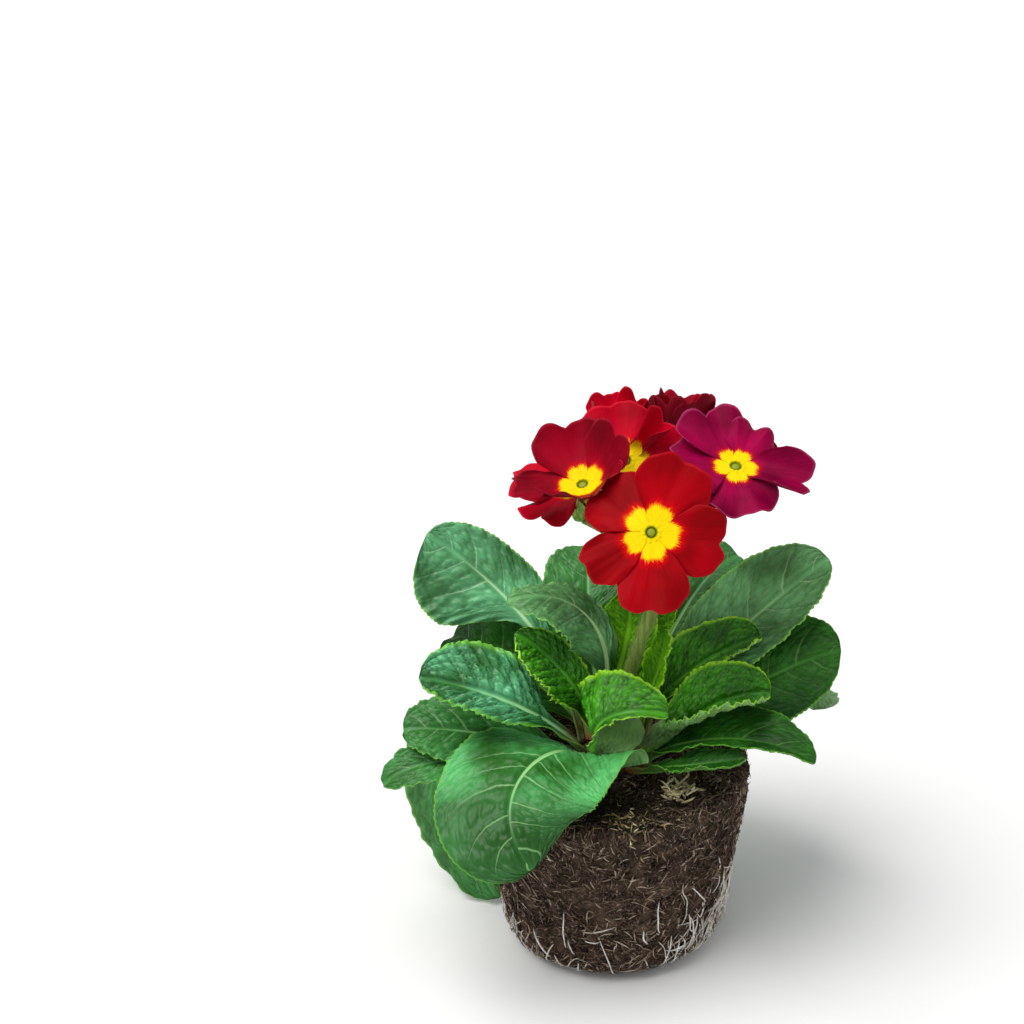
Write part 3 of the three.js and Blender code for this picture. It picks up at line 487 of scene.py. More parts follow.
# the blade: q runs from foot to tip along the side veins and t from margin to margin; at each
# place x on the midrib a cross-section leaves it at a slope and curls up by the cup angle
def addLeaf(node, leaf):
    rows, columns = leaf["rows"] + 1, leaf["columns"] + 1
    q, t = np.meshgrid(np.linspace(0, 1, rows), np.linspace(-1, 1, columns), indexing="ij")
    out = np.abs(t)
    shoulder = ofSide(leaf["shoulder"], t)
    begin = smooth(q, 0, np.maximum(shoulder + 0.15, 0.2))
    x = q + (1 - q) * leaf["slant"] * begin * out ** 1.4
    centre, along = midrib(leaf, x)
    a = math.radians(leaf["at"])
    inward = unit(np.array([-math.cos(a), -math.sin(a), 1.0]))
    turning = smooth(x, 0, leaf["turn"])[..., None]
    normal = unit(inward * (1 - turning) + unit(np.array(leaf["face"], float)) * turning)
    normal = unit(normal - (normal * along).sum(-1, keepdims=True) * along)
    across = np.cross(normal, along)
    cupTip = ofSide(leaf.get("cupTip", leaf["cup"]), t)
    cup = np.radians(ofSide(leaf["cup"], t) * (1 - x) + cupTip * x)
    cup = np.where(np.abs(cup) < 1e-3, 1e-3, cup)
    start, bend = 0.3 * cup, 0.7 * cup
    w = halfWidth(leaf, x, t)
    angle = start + bend * out
    lateral = w / bend * (np.sin(angle) - np.sin(start))
    rise = w / bend * (np.cos(start) - np.cos(angle))

    # long waves and short frills lift the margin, and teeth notch it
    wave = np.sin(6 * math.pi * x + leaf["at"] + np.where(t > 0, 1.9, 0))
    ruffle = wave * out ** 2.5 * np.sqrt(np.clip(np.sin(math.pi * x), 0, 1))
    waver = 2 * math.pi * (9.3 * q + 0.8 * np.sin(5 * q + a)) + 2 * np.sign(t)
    frill = leaf["frill"] * out ** 5 * np.sin(waver)
    teeth = np.abs(np.sin(math.pi * np.arange(rows)[:, None] / 4)) - 0.5
    teeth = leaf["tooth"] * teeth * smooth(out, 0.9, 1) * smooth(q, 0.15, 0.3) * smooth(w, 0, 6)
    middle = centre + across * (np.sign(t) * (lateral + teeth))[..., None]
    middle = middle + normal * (rise + ruffle + frill)[..., None]
    tilt = angle * np.tanh(t / 0.08)
    outwards = normal * np.cos(tilt)[..., None] - across * np.sin(tilt)[..., None]

    # the vein count is whole on each side vein; between two of them the blade is quilted, domed in
    # the cells of the net and finely puckered
    length = np.linalg.norm(np.diff(middle[:, columns // 2], axis=0), axis=-1).sum()
    pitch = length / leaf["veins"]
    phase = leaf["veins"] * (q - 0.10 * out) + np.where(t >= 0, 0.5, 0.0)
    phase = phase + 0.16 * np.sin(2.2 * phase + a) + 0.05 * np.sin(5.1 * out + phase)
    off = np.abs(phase - np.round(phase)) * pitch
    fromRib = out * w
    blade = smooth(q, np.maximum(shoulder, -0.02) + 0.02, np.maximum(shoulder, -0.1) + 0.2)
    quilt = np.sqrt(np.abs(np.sin(math.pi * phase)))
    nearest, second = cells(2 * phase + 0.5 * np.sign(t), leaf["across"] * out + 3 * np.sign(t), a * 7)
    dome = smooth(second - nearest, 0.0, 0.5) - 0.5 * nearest
    nearest, second = cells(5 * phase, 2.6 * leaf["across"] * out + 9, a * 3)
    pucker = smooth(second - nearest, 0.0, 0.5)
    clear = smooth(fromRib, 0.6, 2.2) * blade
    bulge = clear * (0.75 * quilt + 0.85 * dome * quilt + 0.30 * pucker)
    height = leaf["bulge"] * (bulge - 0.6)

    # veins are sunk a little above and stand out below
    sideVein = np.exp(-(off / (0.62 - 0.34 * out)) ** 2) * blade * (1 - 0.55 * out)
    rib = 0.35 * np.exp(-(fromRib / (0.42 + 1.0 * (1 - x) ** 2)) ** 2)
    thick = leaf["thickness"] * (1 - 0.45 * smooth(out, 0.85, 1))
    keel = leaf["keel"] * (1 - q) * np.exp(-(fromRib / 1.7) ** 2) + rib + 0.28 * sideVein
    upper = middle + outwards * (thick / 2 + height - rib * (1 - 0.8 * x))[..., None]
    under = middle + outwards * (height - thick / 2 - keel)[..., None]
    values = {"phase": phase, "pitch": pitch + 0 * q, "fromRib": fromRib, "blade": blade,
              "bulge": bulge, "out": out, "along": q}
    values = {key: np.stack([value, value]) for key, value in values.items()}
    values["under"] = np.stack([0 * q, 0 * q + 1])
    uv = np.tile(np.stack([0.5 + 0.5 * t, q], -1).reshape(-1, 2), (2, 1))
    bodies = [(np.stack([upper, under]), shellQuads(rows, columns, tip=True))]
    addPiece(camel(node), bodies, leafSkins[leaf["look"]], leaf["slot"], node, values=values, uv=uv)


def camel(node):
    first, *rest = node.split("_")
    return first + "".join(word.capitalize() for word in rest)


for node, own in leaves.items():
    addLeaf(node, {**leafShape, **own})
print("leaves ready:", len(leaves))

umbel = np.array([20.0, 0.0, 76.0 + soilTop])
petals = 5
# at is the middle of the throat seen from the umbel, compass and rise the way the bloom faces; for
# the petals from the lowest on, counter-clockwise: how far each stands up (lift), how its sides
# roll up (curl), its turn out of the even star (aside), half its spread, its length against the
# others (reach) and the depth of its notch
bloomShape = {
    "radius": 25.0, "turn": 0.0, "lift": (5,) * petals, "curl": (0,) * petals,
    "aside": (0,) * petals, "spread": (43,) * petals, "reach": (1,) * petals,
    "notch": (0.11,) * petals, "ruffle": 0.9, "look": "crimson", "root": 2.2, "hinge": 3.6,
    "drop": 0.34, "notchWidth": 0.2, "eye": 0.8, "overlap": 1.1, "thickness": 0.42, "rows": 24,
    "columns": 32, "tube": 12.5,
}
bloomRows = {
    "bloom_front": dict(
        at=(-6.7, -27, 31.6), compass=270, rise=33, radius=28, lift=(7, -1, 5, -22, -2),
        aside=(1, 8, 10, 11, 13), spread=(38, 42, 44, 41, 30), reach=(1.03, 0.95, 1.0, 0.95, 0.93),
        notch=(0.07, 0.12, 0.04, 0.1, 0.02), eye=0.94, look="red"),
    "bloom_left": dict(
        at=(-30.2, 0.6, 36), compass=235, rise=68, radius=25.5, turn=9, lift=(44, 42, 42, 32, 14),
        aside=(0, 0, 6, 0, 7), spread=(43, 40, 40, 48, 27), reach=(0.85, 0.86, 0.97, 1.05, 1),
        notch=(0.1, 0.1, 0.08, 0.17, 0.08), ruffle=1.3),
    "bloom_left_low": dict(
        at=(-33, 19, 26), compass=240, rise=78, radius=24.5, turn=-5, lift=(4, 52, 12, 8, 8),
        aside=(0, 0, 0, 0, 10), spread=(36, 34, 40, 43, 43), reach=(1.05, 0.42, 0.6, 0.8, 1),
        notch=(0.2, 0.1, 0.1, 0.1, 0.1), ruffle=1.5, look="scarlet"),
    "bloom_top": dict(
        at=(-15.2, 19.2, 36.1), compass=265, rise=48, radius=21.5, turn=-16, lift=(25, 5, 26, 4, 6),
        curl=(0, 0, 150, 0, 0), aside=(0, 42, 6, -2, 0), spread=(43, 48, 43, 50, 43),
        reach=(0.7, 1.05, 1.05, 1.1, 0.84), look="scarlet"),
    "bloom_back_left": dict(
        at=(-17, 48, 33), compass=260, rise=82, radius=18.5, lift=(66, 72, 66, 46, 66),
        ruffle=1.1, look="scarlet"),
    "bloom_back": dict(
        at=(4.5, 40, 37), compass=90, rise=78, radius=20.5, lift=(46, 74, 70, 66, 60), ruffle=1.2),
    "bloom_right": dict(
        at=(22.5, -4, 45.1), compass=285, rise=70, radius=26, turn=-6, lift=(-4, 2, 6, 14, 5),
        curl=(0, 70, 0, 0, 0), aside=(0, -6, 6, -16, -22), spread=(50, 36, 38, 43, 56),
        reach=(0.88, 1.08, 0.82, 1.06, 0.92), notch=(0.06, 0.16, 0.03, 0.2, 0.1), ruffle=1.9,
        eye=0.72, look="magenta"),
    "bloom_back_right": dict(at=(30, 31, 35), compass=55, rise=50, radius=18),
    "bloom_rear": dict(at=(4, 48, 8), compass=85, rise=0, radius=19),
}
blooms = {node: {**bloomShape, **own} for node, own in bloomRows.items()}


# petal skin: a clouded red that deepens outwards, with a paler edge that is partly painted highlight;
# round the throat a yellow eye with a jagged orange border and a glow beyond it, and green inside,
# with painted shade deepening down the tube
def petalMaterial(name, deep, bright, rim, halo, under):
    material, tree, place = newMaterial(name, Roughness=0.5, Specular_IOR_Level=0.05)
    spin, reach, eye, edge, seam, below = (pointValue(tree, key) for key in (
        "spin", "reach", "eye", "edge", "seam", "under"))
    streak = addNode("CombineXYZ", X=spin * 11.0, Y=reach * 0.10)
    feather = noise(streak, 3.4, 4.0, 0.65)
    softer = addNode("CombineXYZ", X=spin * 14.0, Y=reach * 0.05)
    veinNoise = noise(softer, 2.0, 4.0, 0.65)
    mixed = noise(place, 60.0) + veinNoise * 0.35
    petal = blend(span(mixed, 0.42, 0.92), deep, bright)
    petal = blend(span(reach, 11.0, 25.0) * 0.3, petal, deep)
    # partly painted highlight: the edge of the petal turns paler and pinker
    petal = blend(span(edge, 0.95, 1.0) * 0.5, petal, rim)
    ragged = eye + (feather - 0.5) * 0.7
    petal = blend(span(ragged, 1.35, 1.02) * 0.7, petal, halo)
    petal = blend(span(ragged, 1.07, 0.98), petal, (0.88, 0.16, 0.002))
    yellow = blend(span(veinNoise, 0.35, 0.7), (0.90, 0.62, 0.002), (0.97, 0.80, 0.003))
    petal = blend(span(ragged, 1.0, 0.93), petal, yellow)
    crease = span(seam, 0.90, 1.0) * span(reach, 7.0, 3.0)
    petal = blend(crease * 0.6, petal, (0.36, 0.30, 0.004))
    petal = blend(span(reach, 2.6, 1.9), petal, (0.30, 0.34, 0.004))
    # painted shade: the inside of the tube turns a darker olive further down
    petal = blend(span(reach, 1.2, -2.5), petal, (0.14, 0.18, 0.004))
    back = blend(span(veinNoise, 0.3, 0.7), under, deep)
    back = blend(span(reach, 9.0, 3.0), back, (0.52, 0.42, 0.08))
    petal = blend(span(below, 0.35, 0.65), petal, back)
    return paint(material, petal, veinNoise + noise(place, 1800.0, 2.0) * 0.3, 0.25, 0.0005)


# colours of the petals: deep, bright, rim (a paler edge, partly painted highlight), glow round the eye,
# underside
petalColours = {
    "red": ((0.23, 0, 0.002), (0.46, 0, 0.006), (0.6, 0.01, 0.02), (0.8, 0, 0.003),
            (0.26, 0.004, 0.014)),
    "scarlet": ((0.34, 0, 0.009), (0.74, 0, 0.024), (0.75, 0.02, 0.05), (0.85, 0, 0.008),
                (0.26, 0.004, 0.016)),
    "crimson": ((0.16, 0, 0.006), (0.38, 0, 0.015), (0.46, 0.012, 0.045), (0.62, 0, 0.006),
                (0.2, 0.004, 0.016)),
    "magenta": ((0.15, 0, 0.024), (0.4, 0, 0.062), (0.5, 0.06, 0.18), (0.6, 0, 0.012),
                (0.2, 0.008, 0.045)),
}
petalSkins = {key: petalMaterial("petal" + key.capitalize(), *colours)
              for key, colours in petalColours.items()}


# where a bloom is: the middle of its throat and the directions it faces, across and over
def bloomFrame(bloom):
    a, e = math.radians(bloom["compass"]), math.radians(bloom["rise"])
    facing = np.array([math.cos(e) * math.cos(a), math.cos(e) * math.sin(a), math.sin(e)])
    across = unit(np.cross([0, 0, 1.0], facing))
    return umbel + np.array(bloom["at"], float), facing, across, np.cross(facing, across)


# petal k in polar form: u from the root to the rim and v from edge to edge; it opens from its
# share of the circle to overlap its neighbours, lifts at the hinge, rolls its sides and waves
def petalGrid(bloom, k):
    u, v = np.meshgrid(np.linspace(0, 1, bloom["rows"] + 1) ** 1.15,
                       np.linspace(-1, 1, bloom["columns"] + 1), indexing="ij")
    throat, facing, across, over = bloomFrame(bloom)
    half, lift, root = bloom["spread"][k], bloom["lift"], bloom["root"]
    ways = bloom["turn"] - 90 + 360 / petals * np.arange(petals) + np.array(bloom["aside"])
    ahead = (np.roll(ways, -1) - ways) % 360 / 2
    share = np.where(v >= 0, ahead[k], ahead[k - 1]) + 3.5 * smooth(u, 0.0, 0.1)
    easing = np.where(half > share, smooth(u, 0.1, 0.7), smooth(u, 0.45, 1.0))
    opened = np.radians(share + (half - share) * easing)

    notch = 1 - bloom["notch"][k] * np.exp(-np.abs(v / bloom["notchWidth"]) ** 1.4)
    uneven = 1 + 0.018 * np.sin(9 * v + 3 * k) + 0.010 * np.sin(17 * v + 5 * k)
    rim = bloom["radius"] * bloom["reach"][k] * (1 - bloom["drop"] * np.abs(v) ** 3) * notch * uneven
    r = root + (rim - root) * u
    straight = r * np.cos(v * opened)
    beyond = np.logaddexp(0, (straight - bloom["hinge"]) * 2.5) / 2.5
    nextLift = np.where(v >= 0, lift[(k + 1) % petals], lift[k - 1])
    lifted = lift[k] + (nextLift - lift[k]) / 2 * v ** 2 * (1 - smooth(u, 0.4, 1.0))
    lifted = np.radians(lifted) * (0.5 + 0.5 * u)
    outward = straight - beyond + beyond * np.cos(lifted)

    curl = math.radians(bloom["curl"][k]) * smooth(u, 0.1, 0.6)
    rolled = smooth(curl, 0, 0.2)
    widest = np.abs(r * np.sin(opened))
    wide = r * np.sin(v * opened) * (1 - rolled)
    wide = wide + widest * np.sin(curl * v) / np.maximum(curl, 1e-3) * rolled
    high = beyond * np.sin(lifted) + bloom["overlap"] * v * (0.10 + 0.90 * smooth(u, 0.3, 0.7))
    high = high + widest * (1 - np.cos(curl * v)) / np.maximum(curl, 1e-3)
    high = high + bloom["ruffle"] * np.sin(2.5 * math.pi * v + 2.1 * k) * u ** 3 * (1 - 0.8 * rolled)
    high = high - 0.55 * np.exp(-(v / 0.14) ** 2) * smooth(u, 0.15, 0.8)
    high = high + 0.12 * np.sin(23 * v + 7 * k + 2 * u) * u ** 2
    high = high + 0.5 * np.sin(3.1 * v + 1.7 * k + 2.4 * u) * u ** 2
    turn = math.radians(ways[k])
    sideways = outward * math.cos(turn) - wide * math.sin(turn)
    upwards = outward * math.sin(turn) + wide * math.cos(turn)
    grid = throat + sideways[..., None] * across + upwards[..., None] * over + high[..., None] * facing
    return grid, u, v, r, v * opened + turn


# the tube with its raised throat ring, as (radius, height) from the foot to the inside
def tubeProfile(long):
    return [(0, -long), (1.9, -long), (2.0, -long + 0.8), (2.0, -5), (2.3, -2.5), (3.2, -1.0),
            (4.4, -0.35), (3.6, 0.25), (2.9, 0.4), (2.3, 0.4), (1.95, 0.2), (1.7, -0.6), (1.45, -3),
            (1.2, -6), (0.6, -6.4), (0, -6.4)]


# one bloom: a shell for each petal, and the tube; eye is the distance from the middle against the
# edge of the yellow eye, which has one lobe on each petal
def addBloom(node, bloom):
    throat, facing, _, _ = bloomFrame(bloom)
    bodies, values = [], {key: [] for key in ("spin", "reach", "eye", "edge", "seam", "under")}
    for k in range(petals):
        grid, u, v, r, spin = petalGrid(bloom, k)
        normal = unit(np.cross(np.gradient(grid, axis=0), np.gradient(grid, axis=1)))
        edge = smooth(np.maximum(u, np.abs(v)), 0.8, 1)
        offset = normal * (bloom["thickness"] / 2 * (1 - 0.6 * edge))[..., None]
        bodies.append((np.stack([grid + offset, grid - offset]), shellQuads(*u.shape)))
        lobe = 7.2 + 3.5 * np.cos(math.pi / 2 * np.abs(v) ** 1.5) - 0.8 * np.exp(-(v / 0.18) ** 2)
        flipped = (normal * facing).sum() <= 0
        for key, value in {"spin": spin, "reach": r, "eye": r / (lobe * bloom["eye"]), "edge": u,
                           "seam": np.abs(v)}.items():
            values[key] += [value.ravel(), value.ravel()]
        values["under"] += [np.full(u.size, float(flipped)), np.full(u.size, float(not flipped))]

    profile, sides = tubeProfile(bloom["tube"]), 40
    bodies.append(turned(throat, facing, profile, sides, lambda r, z, turn: np.where(
        (r > 1.7) & (z > 0), 0.16 * np.sin(10 * turn), 0 * turn)))
    radius, high = np.array(profile).T[..., None]
    inner = np.arange(len(profile))[:, None] >= 7
    reach = np.where(inner, np.where(high > 0, radius, high), np.maximum(radius, 4.5 + high))
    for key, value in {"spin": turns(sides), "reach": reach, "eye": np.where(inner, 0.3, 1.2),
                       "edge": 0.0, "seam": 0.0, "under": 1.0 - inner}.items():
        values[key].append(np.broadcast_to(value, (len(profile), sides)).ravel())
    values = {key: np.concatenate(value) for key, value in values.items()}
    slot = "petal_magenta" if bloom["look"] == "magenta" else "petal_red"
    addPiece(camel(node), bodies, petalSkins[bloom["look"]], slot, node, values=values)


for node, bloom in blooms.items():
    addBloom(node, bloom)
print("blooms ready:", len(blooms))

stalkShape = {
    "foot": (1.2, 0.3, 12.8), "lean": (8, 2, 48), "radius": 2.5, "swelling": 0.9, "steps": 48,
    "pedicelRadius": 1.0, "pedicelSpread": 2.3, "pedicelSteps": 26, "bracts": 5, "bractLength": 9.0,
    "calyxRadius": 3.2, "calyxLength": 9.0, "calyxTooth": 3.2, "hairs": 2600,
    "hairLong": (0.45, 0.95), "hairRadius": 0.045,
}


# stalk skin: olive green, streaked along, with a brownish flush
def stemMaterial(name, deep, light, flush):
    material, _, place = newMaterial(
        name, Roughness=0.55, Specular_IOR_Level=0.35, Sheen_Weight=0.25, Sheen_Roughness=0.4)
    streak = noise(addNode("Mapping", Vector=place, Scale=(1.0, 1.0, 0.12)), 900.0)
    skin = blend(span(streak, 0.3, 0.7), deep, light)
    skin = blend(span(noise(place, 90.0), 0.52, 0.75), skin, flush)
    return paint(material, skin, streak, 0.3, 0.0004)


stalkGreen = stemMaterial("stalkGreen", (0.1, 0.17, 0.016), (0.24, 0.34, 0.06), (0.19, 0.16, 0.04))
calyxGreen = stemMaterial("calyxGreen", (0.09, 0.2, 0.015), (0.22, 0.4, 0.05), (0.18, 0.26, 0.035))
hairPale = plainMaterial("hairPale", (0.34, 0.38, 0.20), Roughness=0.6)
stigmaOlive = plainMaterial("stigmaOlive", (0.26, 0.32, 0.006), Roughness=0.6)


# a curve from three points by the quadratic rule, and the way along it from 0 to 1
def bend3(a, b, c, steps):
    s = np.linspace(0, 1, steps)
    k = s[:, None]
    return (1 - k) ** 2 * np.array(a) + 2 * k * (1 - k) * np.array(b) + k * k * np.array(c), s


# the stalk and a pedicel to each bloom, as a spine and its radii, and the heel of each calyx
def stalkStems():
    shape = stalkShape
    path, s = bend3(soil + shape["foot"], soil + shape["lean"], umbel, shape["steps"])
    radius = shape["radius"] + shape["swelling"] * smooth(s, 0.85, 1)
    radius = radius + 0.08 * np.sin(31 * s) + 0.25 * smooth(s, 0.08, 0)
    radius[[0, -1]] = 0
    path[-1] += (0, 0, 0.8)
    stems, heels = [(path, radius)], []
    for bloom in blooms.values():
        throat, facing, _, _ = bloomFrame(bloom)
        heel = throat - facing * (bloom["tube"] + 1.6)
        outward = unit((heel - umbel) * (1, 1, 0))
        start = umbel + outward * shape["pedicelSpread"] - (0, 0, 1.5)
        end = heel - facing * 0.7
        path, s = bend3(start, (start + end) / 2 + (0, 0, 4.0), end, shape["pedicelSteps"])
        radius = shape["pedicelRadius"] * (1 + 0.25 * smooth(s, 0.8, 1)) + 0.05 * np.sin(25 * s)
        radius[[0, -1]] = 0
        stems.append((path, radius))
        heels.append((heel, facing))
    return stems, heels


# short hairs: from places along every stem, straight out with a little droop; half of them grow
# on the stalk, which comes first
def hairs(stems):
    rng = np.random.default_rng(11)
    starts, ways, long = [], [], []
    for n, (path, radius) in enumerate(stems):
        count = stalkShape["hairs"] // (2 if n == 0 else 2 * len(blooms))
        s = rng.uniform(0.03, 0.97, count) * (len(path) - 1)
        low = np.floor(s).astype(int)
        part = (s - low)[:, None]
        along = unit(path[low + 1] - path[low])
        side = unit(np.cross(along, rng.normal(size=(count, 3))))
        wide = radius[low, None] * (1 - part) + radius[low + 1, None] * part
        starts.append(path[low] * (1 - part) + path[low + 1] * part + side * (wide - 0.1))
        ways.append(side + 0.25 * along + [0, 0, -0.1])
        long.append(rng.uniform(*stalkShape["hairLong"], count) * (1.0 if n == 0 else 0.7))
    starts, ways, long = np.concatenate(starts), unit(np.concatenate(ways)), np.concatenate(long)
    spines = starts[:, None] + ways[:, None] * (long[:, None] * np.array([0, 0.5, 1.0]))[..., None]
    return strands(spines, np.tile([0.0, stalkShape["hairRadius"], 0.0], (len(starts), 1)), 3)


# a calyx: a ribbed cup with a wall, swollen below the rim, which is cut down between five teeth
def calyx(heel, facing):
    reach, high, sides = stalkShape["calyxRadius"], stalkShape["calyxLength"], 60
    profile = [(0, -1.4), (1.3, -1.1), (2.3, 0.0), (2.9, 1.6), (reach, 3.6), (reach, 6.0),
               (reach - 0.1, 7.6), (reach + 0.25, high), (reach - 0.05, high + 0.05),
               (reach - 0.45, 7.6), (reach - 0.6, 5.5), (reach - 0.7, 3.0), (2.3, 1.6), (0, 1.5)]

    def cut(r, z, turn):
        between = np.abs(((turn * petals / (2 * math.pi)) % 1) - 0.5) * 2
        return -stalkShape["calyxTooth"] * between ** 1.5 * smooth(z, 4.5, high)
    points, quads = turned(heel, facing, profile, sides, cut)
    middle = heel + ((points - heel) @ facing)[..., None] * facing
    turn = petals * turns(sides)
    ribs = 1 + (0.06 * np.cos(turn - math.pi) + 0.03 * np.cos(2 * turn))[None, :, None]
    return middle + (points - middle) * ribs, quads


# a bract: a narrow pointed scale beside the umbel, a flat oval section carried along a rising path
def bract(n):
    turn = math.radians(360 / stalkShape["bracts"] * n + 20)
    outward = np.array([math.cos(turn), math.sin(turn), 0.18])
    s = np.linspace(0, 1, 16)
    path = umbel + [0, 0, -1.0] + outward * (stalkShape["bractLength"] * s)[:, None]
    path[:, 2] += 1.6 * s * s - 0.5
    wide = 1.7 * (1 - s ** 2.2) * smooth(s, -0.1, 0.05)
    points, quads = strands(path[None], wide[None], 12, (0, 0, 1))
    middle = path[None, :, None]
    return middle + (points - middle) * np.array([1, 1, 0.35]), quads


# a stigma: a small knob on a thin style in the throat
def stigma(bloom):
    throat, facing, _, _ = bloomFrame(bloom)
    profile = [(0, -6.2), (0.25, -6.2), (0.22, -2.0), (1.1, -1.6), (1.6, -0.9), (1.5, -0.2),
               (0.8, 0.1), (0, 0.15)]
    return turned(throat, facing, profile, 18)


stems, heels = stalkStems()
stemBodies = [strands(path[None], radius[None], 28 if n == 0 else 12, (0, 1, 0))
              for n, (path, radius) in enumerate(stems)]
addPiece("flowerStem", stemBodies, stalkGreen, "stalk", "flower_stalk")
addPiece("stemHairs", [hairs(stems)], hairPale, "stalk", "flower_stalk")
addPiece("calyxes", [calyx(*heel) for heel in heels], calyxGreen, "stalk", "flower_stalk")
bracts = [bract(n) for n in range(stalkShape["bracts"])]
addPiece("bracts", bracts, calyxGreen, "stalk", "flower_stalk")
addPiece("stigmas", [stigma(bloom) for bloom in blooms.values()], stigmaOlive, "stalk")
print("flower stalk ready")


# crown skin: pinkish brown leaf bases, pale green above and dry brown below
def crownMaterial():
    material, _, place = newMaterial("crownPink", Roughness=0.6, Specular_IOR_Level=0.35)
    up = addNode("SeparateXYZ", output="Z", Vector=place)
    cloud = noise(place, 240.0, 4.0)
    skin = blend(span(cloud, 0.35, 0.65), (0.09, 0.026, 0.012), (0.22, 0.085, 0.04))
    skin = blend(span(up, 0.077, 0.086), skin, (0.14, 0.19, 0.03))
    skin = blend(span(up, 0.0745, 0.0715), skin, (0.035, 0.02, 0.012))
    return paint(material, skin, cloud)


# the crown: steps up from its foot in the peat, with nine shallow folds round it
crownShape = {
    "sides": 72, "folds": 9, "foldDepth": 0.035,
    "profile": ((0, -6.0), (11.7, -6.0), (11.7, -2.0), (11.7, 1.2), (11.3, 2.3), (10.2, 2.9),
                (9.0, 3.6), (8.8, 5.8), (8.2, 6.8), (6.6, 7.3), (5.8, 8.2), (5.6, 10.6),
                (4.9, 11.6), (3.0, 12.0), (0, 12.0)),
}


def addCrown():
    sides = crownShape["sides"]
    points, quads = turned(soil, np.array([0, 0, 1.0]), crownShape["profile"], sides)
    level = points[..., 2] - soilTop
    folds = 1 - np.cos(crownShape["folds"] * turns(sides) + 0.4 * level)
    points[..., :2] *= (1 - crownShape["foldDepth"] * folds * smooth(level, -3, 2))[..., None]
    addPiece("crownHeart", [(points, quads)], crownMaterial(), "crown", "crown")


addCrown()
print("crown ready")

# radii of the ball's side at the heel, the waist and the rim, of the flat foot, of the crown's hole
# and of the flat top's edge; rimRound is how far the rim is rounded in, from the height rimFrom;
# lengths are what one unit of the way over the ball measures on the foot, the side and the top;
# a crumb size is its height, its width and its seed
ballShape = {
    "heights": (8.0, 40.0, 72.0), "radii": (41.0, 45.5, 50.0), "foot": 31.0, "hole": 12.4,
    "holeFloor": 64.0, "topEdge": 47.5, "rimRound": 2.2, "rimFrom": 68.5,
    "lengths": (124.0, 144.0, 150.0), "around": 300, "rows": (12, 84, 40), "hollow": (2.0, -30.0),
    "hollowDepth": 3.5, "hollowSpread": 130.0, "damp": (2.0, -30.0), "mossAndShadeSpread": 260.0,
    "crumbs": ((0.75, 9.0, 3), (0.55, 3.6, 4), (0.3, 1.9, 5)), "crumbSink": 0.35, "fibres": 9400,
    "fibreRadius": (0.14, 0.36), "fibreLift": (0.1, 1.2), "fibresOnSide": 0.66, "fibresUnder": 0.06,
}
footEdge, rimEdge = 0.25, 0.75      # the way over the ball at the edge of its foot and at its rim


# the ball's side: a straight taper above the waist and below it, rounded in at the foot
def sideRadius(z):
    heights, radii, foot = ballShape["heights"], ballShape["radii"], ballShape["foot"]
    low = foot + (radii[0] - foot) * np.sin(math.pi / 2 * np.clip(z / heights[0], 0, 1))
    return np.where(z < heights[0], low, np.interp(z, heights, radii))


# shallow dents round the side, which drift with the height
def sideBump(a, z):
    dents = np.sin(3 * a + 1.3 + 0.05 * z) + 0.7 * np.sin(5 * a - 0.11 * z + 2)
    return 0.5 * (dents + 0.5 * np.sin(8 * a + 0.15 * z))


def topHeight(x, y):
    hx, hy = ballShape["hollow"]
    away = (x - hx) ** 2 + (y - hy) ** 2
    hollow = ballShape["hollowDepth"] * np.exp(-away / ballShape["hollowSpread"])
    waves = 0.8 * np.sin(0.21 * x + 1) * np.cos(0.19 * y) + 0.5 * np.sin(0.34 * (x + y))
    return soilTop - 0.8 + waves - hollow


# a place on the ball by compass angle a and the way s over it: 0 in the middle of the underside,
# then the edge of the foot and the rim, and 1 at the edge of the crown's hole
def ballPlace(a, s):
    foot, hole = ballShape["foot"], ballShape["hole"]
    z = soilTop * (s - footEdge) / (rimEdge - footEdge)
    side = sideRadius(np.clip(z, 0, soilTop)) + sideBump(a, z) * smooth(z, 0, 3)
    rim = side - ballShape["rimRound"] * smooth(z, ballShape["rimFrom"], soilTop) ** 2
    top = (rim - hole) * (1 - (s - rimEdge) / (1 - rimEdge)) + hole
    r = np.where(s < footEdge, foot * s / footEdge, np.where(s < rimEdge, rim, top))
    x, y = r * np.cos(a), r * np.sin(a)
    level = topHeight(x, y)
    high = np.where(s < footEdge, 0.0, np.where(s < rimEdge, np.minimum(z, level), level))
    return np.stack([x, y, high], -1)


# the way out of the ball: square to two short steps, one around and one over it
def ballOutward(a, s, step=2e-3):
    return unit(np.cross(ballPlace(a + step, s) - ballPlace(a - step, s),
                         ballPlace(a, s + step) - ballPlace(a, s - step)))


# peat skin: dark brown with lighter crumbs, greenish black in the front hollow, partly moss and partly
# painted shade
def peatMaterial():
    material, tree, place = newMaterial("peatDark", Roughness=0.95, Specular_IOR_Level=0.15)
    cloud = noise(place, 150.0, 5.0, 0.65)
    crumb = noise(place, 1000.0, 3.0, 0.6)
    skin = blend(span(cloud, 0.35, 0.65), (0.011, 0.0065, 0.0045), (0.11, 0.070, 0.047))
    skin = blend(span(crumb, 0.54, 0.70), skin, (0.34, 0.24, 0.165))
    # painted shade with a moss tint: the front hollow turns greenish black
    damp = pointValue(tree, "damp") * span(cloud, 0.3, 0.6)
    skin = blend(damp, skin, (0.022, 0.026, 0.010))
    return paint(material, skin, crumb + cloud, 0.9, 0.0012)


